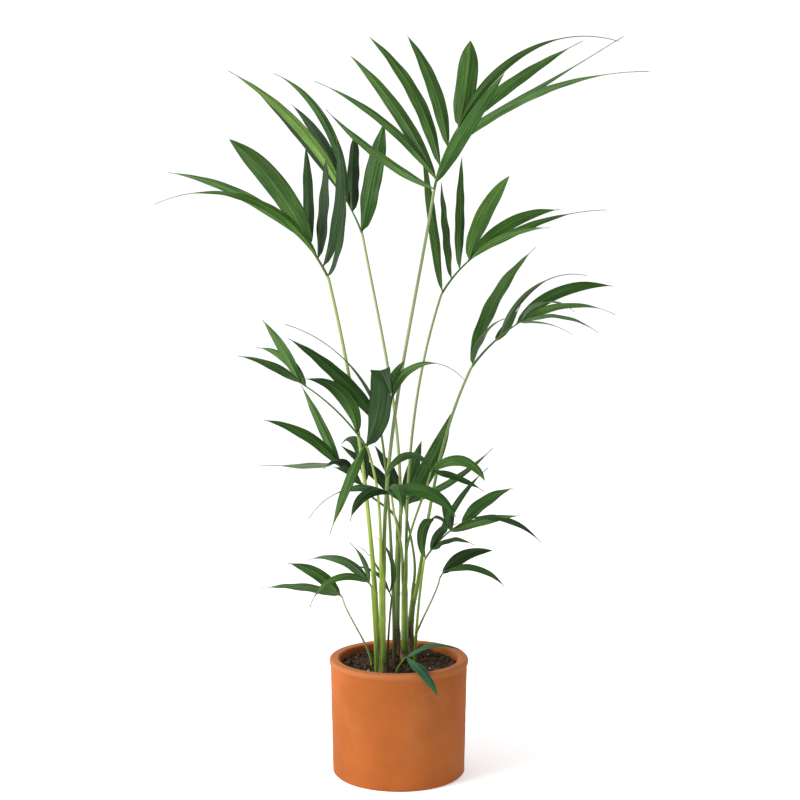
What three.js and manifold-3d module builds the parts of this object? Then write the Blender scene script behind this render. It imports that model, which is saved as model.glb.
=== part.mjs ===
// A young kentia palm in a plain terracotta pot, as one faceted solid for each sub-part.
// Millimetres, +Z up. The origin is on the pot's axis, in the plane of its flat underside.
// +X is the viewer's right and +Y points away from the front.
// A bearing is an angle in plan from +X towards +Y, and a rise is an angle above the level.

import * as THREE from 'three';
import { mergeVertices } from 'three/addons/utils/BufferGeometryUtils.js';
import Module from 'manifold-3d';

const wasm = await Module();
wasm.setup();

// Driving sizes of the pot and the soil
const POT_HEIGHT = 160;
const RIM_RADIUS = 95;
const LIP_HEIGHT = 8;
const LIP_ROUND = 3;
const LIP_STEPS = 3;
const WALL_TOP_RADIUS = 93.4;
const FOOT_RADIUS = 90.5;
const FOOT_EDGE = 2.5;
const MOUTH_RADIUS = 81.5;
const FLOOR_RADIUS = 76;
const FLOOR_THICKNESS = 13;
const POT_SIDES = 48;
const SOIL_LEVEL = 149;
const CLEARANCE = 0.3;

// Driving sizes of the stalks, ribs and leaflets
const STEM_SIDES = 8;
const STEM_STEPS = 4;
const STALK_SIDES = 6;
const STALK_STEPS = 8;
const STALK_REACH = 0.36;
const RIB_SIDES = 5;
const RIB_STEPS = 4;
const RIB_TIP_RADIUS = 0.8;
const FIRST_LEAF_PLACE = 4;
const LEAF_THINNESS = 0.013;
const LEAF_LEAST_THICKNESS = 1.6;
// Each leaflet is turned about its own length by up to this, in steps that never line up
const LEAF_ROLL = 18;
const ROLL_STEP = 2.4;
const FROND_ROLL_STEP = 5;
// A leaflet's cross-sections, as shares of its length, before its pointed tip
const LEAF_SHARES = [0, 0.14, 0.34, 0.56, 0.77, 0.92];
// A leaflet is widest at this share of its length, and at its root it has this share of that width
const WIDEST_SHARE = 0.34;
const ROOT_BREADTH = 0.3;
// How full its outline stays towards its tip, unless its row gives another number for a rounder tip
const TIP_FULLNESS = 1.25;

// The stems, each one shoot of the clump: foot on the soil, top, and the radius at each end
const stems = [
  { name: 'stem_front_left', foot: [-29, -27], top: [-34.5, -33, 292], radii: [3.8, 3.3] },
  { name: 'stem_front', foot: [-22, -41], top: [-22, -38, 300], radii: [4.8, 4.2] },
  { name: 'stem_back_left', foot: [-3, 47], top: [0, 58, 330], radii: [4.2, 4] },
  { name: 'stem_middle', foot: [8, 22], top: [8, 24, 275], radii: [4.8, 4.4] },
  { name: 'stem_back_right', foot: [15.5, 56], top: [23.4, 52, 250], radii: [4.6, 4] },
];

// The fronds. A stalk stands on the soil at its foot, or on its stem's top at the bearing seat.
// neck is where the stalk ends and the blade's rib begins, and lean is the stalk's rise there.
// rib is [length, bearing, rise, droop], and face is the way the blade's upper side looks.
// A leaflet is [place along the rib, bearing, rise, droop, length, width, tip fullness].
// Its droop is the angle that it bends down by from its root to its tip. A plain tip needs no fullness.
const fronds = [
  {
    name: 'top', stem: 'stem_front', seat: 45, neck: [47, 20, 793], lean: 78, radii: [2.7, 2],
    rib: [94, 0, 80, 22], face: [-80, 20],
    leaflets: [
      [0, 144, 24, -15, 221, 14], [0.16, 161, 51, 28, 226, 13], [0.13, 135, 61, 29, 248, 20],
      [0.34, 153, 77, 37, 212, 20], [0.65, -133, 78, 36, 164, 20], [1, 60, 63, -23, 121, 29, 3],
      [1, 33, 58, 67, 327, 13, 0.8], [0.98, 13, 43, 18, 213, 18], [0.81, -15, 29, 0, 261, 9, 0.9],
      [0.56, -26, 40, 43, 306, 12], [0.08, -59, 45, 11, 211, 20],
    ],
  },
  {
    name: 'upper_right', stem: 'stem_middle', seat: 45, neck: [59, 90, 652], lean: 61, radii: [2.2, 1.7],
    rib: [97, 7, 60, 30], face: [-55, 30],
    leaflets: [
      [0, 180, 82, 0, 204, 16], [0.24, 99, 57, -4, 162, 15], [0.43, 84, 77, -3, 162, 16],
      [0.63, -38, 78, 36, 136, 25, 1.5], [0.6, 33, 48, 48, 185, 18, 1.5], [0.86, 19, 33, 33, 206, 12],
      [0.67, -29, 39, 39, 130, 11],
    ],
  },
  {
    name: 'right', stem: 'stem_back_right', seat: -20, neck: [96, -30, 560], lean: 57, radii: [2.6, 1.8],
    rib: [92, -4, 55, 24], face: [-50, 30],
    leaflets: [
      [0, -42, 78, 43, 194, 22], [0, -59, 71, 63, 109, 18], [0.51, 58, 26, -12, 83, 12],
      [0.6, 35, 66, 79, 187, 8], [0.9, 19, 47, 56, 156, 16, 1.6], [0.98, -9, 37, 65, 132, 11],
      [1, -40, 57, 96, 96, 10], [1, -40, 22, 55, 126, 11], [0.97, -43, 9, 36, 90, 9],
    ],
  },
  {
    name: 'upper_left', stem: 'stem_back_left', seat: 45, neck: [-51, 105, 736], lean: 76, radii: [2.3, 1.7],
    rib: [55, 173, 69, 10], face: [-125, 30],
    leaflets: [
      [1, -159, 65, 39, 245, 15], [1, 164, 55, 13, 222, 14], [0.89, 138, 85, 67, 254, 13],
      [0.77, 125, 57, 26, 220, 18], [0.6, 90, 39, -24, 143, 20, 3], [0, 26, 76, -2, 156, 29, 1.9],
    ],
  },
  {
    name: 'left', stem: 'stem_front_left', seat: 0, neck: [-92, -40, 678], lean: 77, radii: [3, 1.9],
    rib: [127, -176, 65, 32], face: [-120, 30],
    leaflets: [
      [0.19, -156, 60, 85, 256, 13], [0.5, 162, 42, 36, 215, 14], [0.35, -145, 63, 28, 184, 30, 1.9],
      [0.36, 96, 69, 25, 163, 15, 1.5], [0.21, 73, 75, -2, 137, 19, 1.6], [0.11, -35, 63, -38, 172, 20],
      [0, -69, 36, -37, 129, 15],
    ],
  },
  {
    name: 'mid_left', stem: 'stem_front', seat: 225, neck: [-41, -60, 456], lean: 65, radii: [2.1, 1.6],
    rib: [127, 176, 57, 26], face: [-115, 35],
    leaflets: [
      [0.98, 133, 50, 10, 114, 14], [0.91, 138, 54, 58, 113, 13], [0.98, -142, 38, 31, 106, 13],
      [0.16, -146, 86, 87, 125, 20], [0, 169, 115, 28, 103, 36, 3], [0.02, -118, -43, 12, 142, 15],
    ],
  },
  {
    name: 'mid_centre', foot: [-6, 26], neck: [-24, -31, 475], lean: 60, radii: [2.6, 1.6],
    rib: [30, 25, 72, 5], face: [-80, 30],
    leaflets: [
      [0.12, -151, 56, 29, 187, 20], [0.25, -151, 72, 57, 208, 6, 0.8], [1, -34, 87, 132, 162, 13],
      [0.81, -39, 90, 47, 82, 14],
    ],
  },
  {
    name: 'lower_left', stem: 'stem_back_left', seat: 200, neck: [-47, 34, 390], lean: 66, radii: [1.9, 1.5],
    rib: [55, 176, 44, 12], face: [-110, 40],
    leaflets: [
      [0.73, -165, 54, 43, 133, 16, 1.4], [0.78, 129, 47, -5, 141, 14], [0.95, 148, -8, -5, 134, 11],
      [0.39, -133, 72, 115, 67, 13], [0, -128, 44, 35, 73, 15], [0, 118, 119, 167, 120, 17],
    ],
  },
  {
    name: 'front', stem: 'stem_middle', seat: 165, neck: [-9, -62, 393], lean: 66, radii: [1.9, 1.5],
    rib: [16, -110, 40, 20], face: [-90, 45],
    leaflets: [
      [0.09, -170, 29, 90, 127, 13], [0.6, -134, 29, 103, 90, 15, 1.5], [0.89, -16, 23, 83, 106, 21],
      [1, -75, 46, 120, 92, 16],
    ],
  },
  {
    name: 'centre_right', stem: 'stem_middle', seat: -75, neck: [43, -6, 416], lean: 72, radii: [1.8, 1.4],
    rib: [18, -20, 64, 10], face: [-75, 45],
    leaflets: [
      [0, -143, 66, 140, 102, 14, 1.5], [0, -12, 50, 121, 89, 19, 1.5], [0, 7, -12, 23, 80, 13],
    ],
  },
  {
    name: 'back', stem: 'stem_back_right', seat: 160, neck: [9, 79, 352], lean: 70, radii: [2, 1.5],
    rib: [26, 110, 60, 12], face: [-80, 35],
    leaflets: [
      [0.25, 164, 46, 13, 122, 18], [0.25, 125, 57, 25, 105, 18], [0.09, 75, 43, 9, 126, 20],
      [0, 25, 51, -19, 148, 26], [0.19, -23, 22, -22, 160, 11],
    ],
  },
  {
    name: 'lower_right', foot: [22, 4], neck: [34, -30, 300], lean: 66, radii: [2, 1.6],
    rib: [88, 0, 60, 36], face: [-70, 45],
    leaflets: [
      [0.81, 15, 54, 45, 89, 19, 1.4], [0.58, -12, 27, 25, 100, 14], [1, -23, 17, 65, 107, 11],
      [0.14, -52, 65, 58, 83, 12], [0.16, -51, 41, 58, 95, 13], [0.6, 95, 50, 60, 90, 16],
      [0.3, 44, 58, 31, 139, 9], [0, -55, 130, 171, 106, 15],
    ],
  },
  {
    name: 'low_right', foot: [19, 72], neck: [57, 44, 260], lean: 80, radii: [1.5, 1.2],
    rib: [12, 10, 60, 10], face: [-80, 45],
    leaflets: [
      [0.3, 20, 53, 66, 86, 19, 1.5], [0.9, -11, 27, 80, 95, 12], [0.9, 50, 38, 45, 62, 11],
    ],
  },
  {
    name: 'low_left', foot: [-37, -10], neck: [-75, -58, 256], lean: 74, radii: [1.4, 1.1],
    rib: [14, -170, 50, 10], face: [-110, 45],
    leaflets: [
      [0, 170, 21, 38, 113, 14], [0, -164, 54, 41, 88, 18],
    ],
  },
  {
    name: 'low_centre', foot: [-30.5, -44], neck: [-36, -55, 269], lean: 84, radii: [1.6, 1.3],
    rib: [14, 170, 60, 10], face: [-100, 45],
    leaflets: [
      [0.16, 162, 60, 89, 103, 15], [0.32, -157, 40, 118, 107, 12], [0.32, 163, 90, 55, 62, 7],
    ],
  },
  {
    name: 'small_back', foot: [-16, 0], neck: [-10, 2, 241], lean: 84, radii: [1.5, 1.2],
    rib: [10, 165, 72, 5], face: [80, 45],
    leaflets: [
      [0.89, 185, 75, 78, 66, 9], [0.89, 168, 118, 87, 88, 7], [0.9, 130, 62, 50, 95, 11],
    ],
  },
  {
    name: 'small_front', foot: [-3, -44], neck: [6, -60, 172], lean: 52, radii: [1.3, 1.1],
    rib: [8, -40, 40, 10], face: [-70, 60],
    leaflets: [
      [0.2, -20, 47, 74, 93, 12], [0.9, -54, -8, 45, 85, 15],
    ],
  },
];

const clay = new THREE.MeshStandardMaterial({ color: '#c4713f', roughness: 0.85, metalness: 0 });
const earth = new THREE.MeshStandardMaterial({ color: '#33241a', roughness: 1, metalness: 0 });
const stalkGreen = new THREE.MeshStandardMaterial({ color: '#8fae45', roughness: 0.5, metalness: 0 });
const leafGreen = new THREE.MeshStandardMaterial({ color: '#2f5a2e', roughness: 0.45, metalness: 0 });

const UPRIGHT = new THREE.Vector3(0, 0, 1);
const radians = THREE.MathUtils.degToRad;

function heading(bearing, rise) {
  const flat = Math.cos(radians(rise));
  return new THREE.Vector3(
    flat * Math.cos(radians(bearing)), flat * Math.sin(radians(bearing)), Math.sin(radians(rise)));
}

// A point and a direction at each share of an arc that bends down evenly
function arc(start, length, bearing, rise, droop, shares) {
  const fineSteps = 60;
  const path = [];
  const point = start.clone();
  let step = 0;
  for (const share of shares) {
    while (step < Math.round(share * fineSteps)) {
      const middle = (step + 0.5) / fineSteps;
      point.addScaledVector(heading(bearing, rise - droop * middle), length / fineSteps);
      step += 1;
    }
    path.push({ point: point.clone(), direction: heading(bearing, rise - droop * share) });
  }
  return path;
}

function evenShares(steps) {
  return Array.from({ length: steps + 1 }, (_, index) => index / steps);
}

// A closed skin over rings that all have the same number of corners, with or without a pointed end.
// The diagonals lean the other way on every other side, so a thin twisted blade stays the right way out.
function skin(rings, point) {
  const corners = rings[0].length;
  const places = rings.flat();
  const faces = [];
  for (let ring = 0; ring + 1 < rings.length; ring += 1) {
    for (let corner = 0; corner < corners; corner += 1) {
      const here = ring * corners + corner;
      const next = ring * corners + (corner + 1) % corners;
      if (corner % 2) {
        faces.push([here, next, here + corners], [next, next + corners, here + corners]);
      } else {
        faces.push([here, next, next + corners], [here, next + corners, here + corners]);
      }
    }
  }
  for (let corner = 1; corner + 1 < corners; corner += 1) {
    faces.push([0, corner + 1, corner]);
  }
  const last = (rings.length - 1) * corners;
  if (point) {
    places.push(point);
    for (let corner = 0; corner < corners; corner += 1) {
      faces.push([last + corner, last + (corner + 1) % corners, places.length - 1]);
    }
  } else {
    for (let corner = 1; corner + 1 < corners; corner += 1) {
      faces.push([last, last + corner, last + corner + 1]);
    }
  }
  const geometry = new THREE.BufferGeometry().setFromPoints(places);
  geometry.setIndex(faces.flat());
  return geometry;
}

// A tapering round limb along a path, with flat ends
function limb(path, radii, sides) {
  let side = new THREE.Vector3(1, 0, 0);
  const rings = path.map(({ point, direction }, index) => {
    side = side.clone().projectOnPlane(direction).normalize();
    const across = direction.clone().cross(side);
    const radius = THREE.MathUtils.lerp(radii[0], radii[1], index / (path.length - 1));
    return Array.from({ length: sides }, (_, corner) => {
      const turn = corner / sides * 2 * Math.PI;
      return point.clone()
        .addScaledVector(side, radius * Math.cos(turn))
        .addScaledVector(across, radius * Math.sin(turn));
    });
  });
  return skin(rings);
}

// How broad a leaflet is at a share of its length, where its greatest breadth is 1
function breadth(share, fullness) {
  if (share < WIDEST_SHARE) {
    return THREE.MathUtils.lerp(ROOT_BREADTH, 1, Math.sin(Math.PI / 2 * share / WIDEST_SHARE));
  }
  return Math.cos(Math.PI / 2 * ((share - WIDEST_SHARE) / (1 - WIDEST_SHARE)) ** fullness);
}

// A thin leaflet with a four-cornered section, flat across and thickest along its middle
function leaflet(root, row, face, roll) {
  const [, bearing, rise, droop, length, width, fullness = TIP_FULLNESS] = row;
  const path = arc(root, length, bearing, rise, droop, [...LEAF_SHARES, 1]);
  const tip = path.pop().point;
  const thickness = Math.max(LEAF_LEAST_THICKNESS, length * LEAF_THINNESS);
  const rings = path.map(({ point, direction }, index) => {
    const across = face.clone().cross(direction).normalize().applyAxisAngle(direction, roll);
    const up = direction.clone().cross(across);
    const half = width * breadth(LEAF_SHARES[index], fullness) / 2;
    return [[-half, 0], [0, -thickness / 2], [half, 0], [0, thickness / 2]].map(([wide, high]) =>
      point.clone().addScaledVector(across, wide).addScaledVector(up, high));
  });
  return skin(rings, tip);
}

function solidOf(geometry) {
  const merged = mergeVertices(geometry, 1e-5);
  return new wasm.Manifold(new wasm.Mesh({
    numProp: 3,
    vertProperties: new Float32Array(merged.attributes.position.array),
    triVerts: new Uint32Array(merged.index.array),
  }));
}

function geometryOf(solid) {
  const mesh = solid.getMesh();
  const geometry = new THREE.BufferGeometry();
  geometry.setAttribute('position', new THREE.BufferAttribute(mesh.vertProperties, 3));
  geometry.setIndex(new THREE.BufferAttribute(mesh.triVerts, 1));
  return geometry;
}

function fused(geometries) {
  return geometryOf(geometries.map(solidOf).reduce((whole, solid) => whole.add(solid)));
}

// The outline runs up the outside, over the rounded lip and down the inside to the floor
function potGeometry() {
  const shoulder = POT_HEIGHT - LIP_ROUND;
  return turned([
    [0, 0],
    [FOOT_RADIUS - FOOT_EDGE, 0],
    [FOOT_RADIUS, FOOT_EDGE],
    [WALL_TOP_RADIUS, POT_HEIGHT - LIP_HEIGHT],
    ...quarterRound(RIM_RADIUS - LIP_ROUND, shoulder, 0),
    ...quarterRound(MOUTH_RADIUS + LIP_ROUND, shoulder, 90),
    [FLOOR_RADIUS, FLOOR_THICKNESS],
    [0, FLOOR_THICKNESS],
  ]);
}

function quarterRound(radius, height, from) {
  return evenShares(LIP_STEPS).map((share) => {
    const turn = radians(from + share * 90);
    return [radius + LIP_ROUND * Math.cos(turn), height + LIP_ROUND * Math.sin(turn)];
  });
}

function soilGeometry() {
  const slope = (MOUTH_RADIUS - FLOOR_RADIUS) / (POT_HEIGHT - LIP_ROUND - FLOOR_THICKNESS);
  const wallRadius = (height) => FLOOR_RADIUS + slope * (height - FLOOR_THICKNESS) - CLEARANCE;
  const bottom = FLOOR_THICKNESS + CLEARANCE;
  return turned([
    [0, bottom],
    [wallRadius(bottom), bottom],
    [wallRadius(SOIL_LEVEL), SOIL_LEVEL],
    [0, SOIL_LEVEL],
  ]);
}

// A lathe turns its outline about Y, so the result is stood up
function turned(profile) {
  const outline = profile.map(([radius, height]) => new THREE.Vector2(radius, height));
  const geometry = new THREE.LatheGeometry(outline, POT_SIDES).rotateX(Math.PI / 2);
  geometry.deleteAttribute('normal');
  geometry.deleteAttribute('uv');
  return geometryOf(solidOf(geometry));
}

// A path that leaves its start and reaches its end at the given directions
function bend(start, end, startDirection, endDirection, steps) {
  const reach = start.distanceTo(end) * STALK_REACH;
  const curve = new THREE.CubicBezierCurve3(
    start, start.clone().addScaledVector(startDirection, reach),
    end.clone().addScaledVector(endDirection, -reach), end);
  return evenShares(steps).map((share) => {
    return { point: curve.getPoint(share), direction: curve.getTangent(share) };
  });
}

// A stem leaves the soil upright, and this is the way it points at its top
function topDirection({ foot, top }) {
  const line = new THREE.Vector3(top[0] - foot[0], top[1] - foot[1], top[2] - SOIL_LEVEL);
  return line.normalize().multiplyScalar(2).sub(UPRIGHT).normalize();
}

function stemGeometry(stem) {
  const start = new THREE.Vector3(...stem.foot, SOIL_LEVEL + CLEARANCE);
  const end = new THREE.Vector3(...stem.top);
  return limb(bend(start, end, UPRIGHT, topDirection(stem), STEM_STEPS), stem.radii, STEM_SIDES);
}

// Stalks on one stem's top stand round its middle, just clear of each other, and go on as it points
function stalkFoot(frond) {
  if (frond.foot) {
    return { start: new THREE.Vector3(...frond.foot, SOIL_LEVEL + CLEARANCE), direction: UPRIGHT };
  }
  const stem = stems.find(({ name }) => name === frond.stem);
  const sharing = fronds.filter(({ stem: other }) => other === frond.stem);
  const thickest = Math.max(...sharing.map(({ radii }) => radii[0]));
  const offset = sharing.length > 1 ? (thickest + CLEARANCE) / Math.sin(Math.PI / sharing.length) : 0;
  const direction = topDirection(stem);
  const start = new THREE.Vector3(...stem.top)
    .addScaledVector(heading(frond.seat, 0).projectOnPlane(direction).normalize(), offset)
    .addScaledVector(direction, CLEARANCE);
  return { start, direction };
}

function stalkPath(frond) {
  const { start, direction } = stalkFoot(frond);
  const neck = new THREE.Vector3(...frond.neck);
  const bearing = THREE.MathUtils.radToDeg(Math.atan2(neck.y - start.y, neck.x - start.x));
  return bend(start, neck, direction, heading(bearing, frond.lean), STALK_STEPS);
}

function stalkGeometry(frond) {
  return limb(stalkPath(frond), frond.radii, STALK_SIDES);
}

function bladeGeometry(frond, order) {
  const [length, bearing, rise, droop] = frond.rib;
  const neck = stalkPath(frond).at(-1);
  const start = neck.point.clone().addScaledVector(neck.direction, CLEARANCE);
  const ribPath = arc(start, length, bearing, rise, droop, evenShares(RIB_STEPS));
  ribPath[0].direction = neck.direction;
  const rib = limb(ribPath, [frond.radii[1], RIB_TIP_RADIUS], RIB_SIDES);
  const face = heading(...frond.face);
  const leaves = frond.leaflets.map((row, index) => {
    const place = (FIRST_LEAF_PLACE + row[0] * (length - FIRST_LEAF_PLACE)) / length;
    const root = arc(start, length, bearing, rise, droop, [place])[0].point;
    const roll = radians(LEAF_ROLL) * Math.sin(order * FROND_ROLL_STEP + index * ROLL_STEP);
    return leaflet(root, row, face, roll);
  });
  return fused([rib, ...leaves]);
}

function node(name, geometry, material) {
  const mesh = new THREE.Mesh(geometry, material.clone());
  mesh.name = name;
  return mesh;
}

const palm = new THREE.Group();
palm.add(node('pot', potGeometry(), clay), node('soil', soilGeometry(), earth));
for (const stem of stems) {
  palm.add(node(stem.name, stemGeometry(stem), stalkGreen));
}
fronds.forEach((frond, order) => {
  palm.add(node(`stalk_${frond.name}`, stalkGeometry(frond), stalkGreen));
  palm.add(node(`frond_${frond.name}`, bladeGeometry(frond, order), leafGreen));
});

export default palm;
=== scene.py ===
# The looks of a young kentia palm in a plain terracotta pot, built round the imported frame.
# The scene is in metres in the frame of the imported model: +Z is up, +X is the viewer's right and
# +Y points away from the front. The tables and sizes below are in millimetres and degrees, apart
# from those that say otherwise, and mesh_object turns shapes into metres. A bearing is an angle
# in plan from +X towards +Y, and a rise is an angle above the level.

import random
from math import atan2, cos, degrees, exp, hypot, pi, radians, sin, sqrt, tan, tau

import bmesh
import bpy
import numpy as np
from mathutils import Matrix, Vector, noise


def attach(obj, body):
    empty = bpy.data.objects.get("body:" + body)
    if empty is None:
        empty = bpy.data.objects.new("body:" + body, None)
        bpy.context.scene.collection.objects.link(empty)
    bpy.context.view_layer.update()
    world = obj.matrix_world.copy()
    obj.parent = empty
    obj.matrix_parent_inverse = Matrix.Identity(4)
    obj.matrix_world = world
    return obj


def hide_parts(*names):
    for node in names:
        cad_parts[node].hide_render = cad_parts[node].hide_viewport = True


MM = 0.001

# The stems, each one shoot of the clump: foot on the soil, top, and the radius at each end.
# skin names the colours of a stem or a stalk, with painted light or shade in some of the skins.
STEMS = (
    dict(name="stem_front_left", skin="bright", foot=(-29, -27), top=(-34.5, -33, 292), radii=(3.8, 3.3)),
    dict(name="stem_front", skin="bright", foot=(-22, -41), top=(-22, -38, 300), radii=(4.8, 4.2)),
    dict(name="stem_back_left", skin="shade", foot=(-3, 47), top=(0, 58, 330), radii=(4.2, 4)),
    dict(name="stem_middle", skin="green", foot=(8, 22), top=(8, 24, 275), radii=(4.8, 4.4)),
    dict(name="stem_back_right", skin="shade", foot=(15.5, 56), top=(23.4, 52, 250), radii=(4.6, 4)),
)

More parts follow.
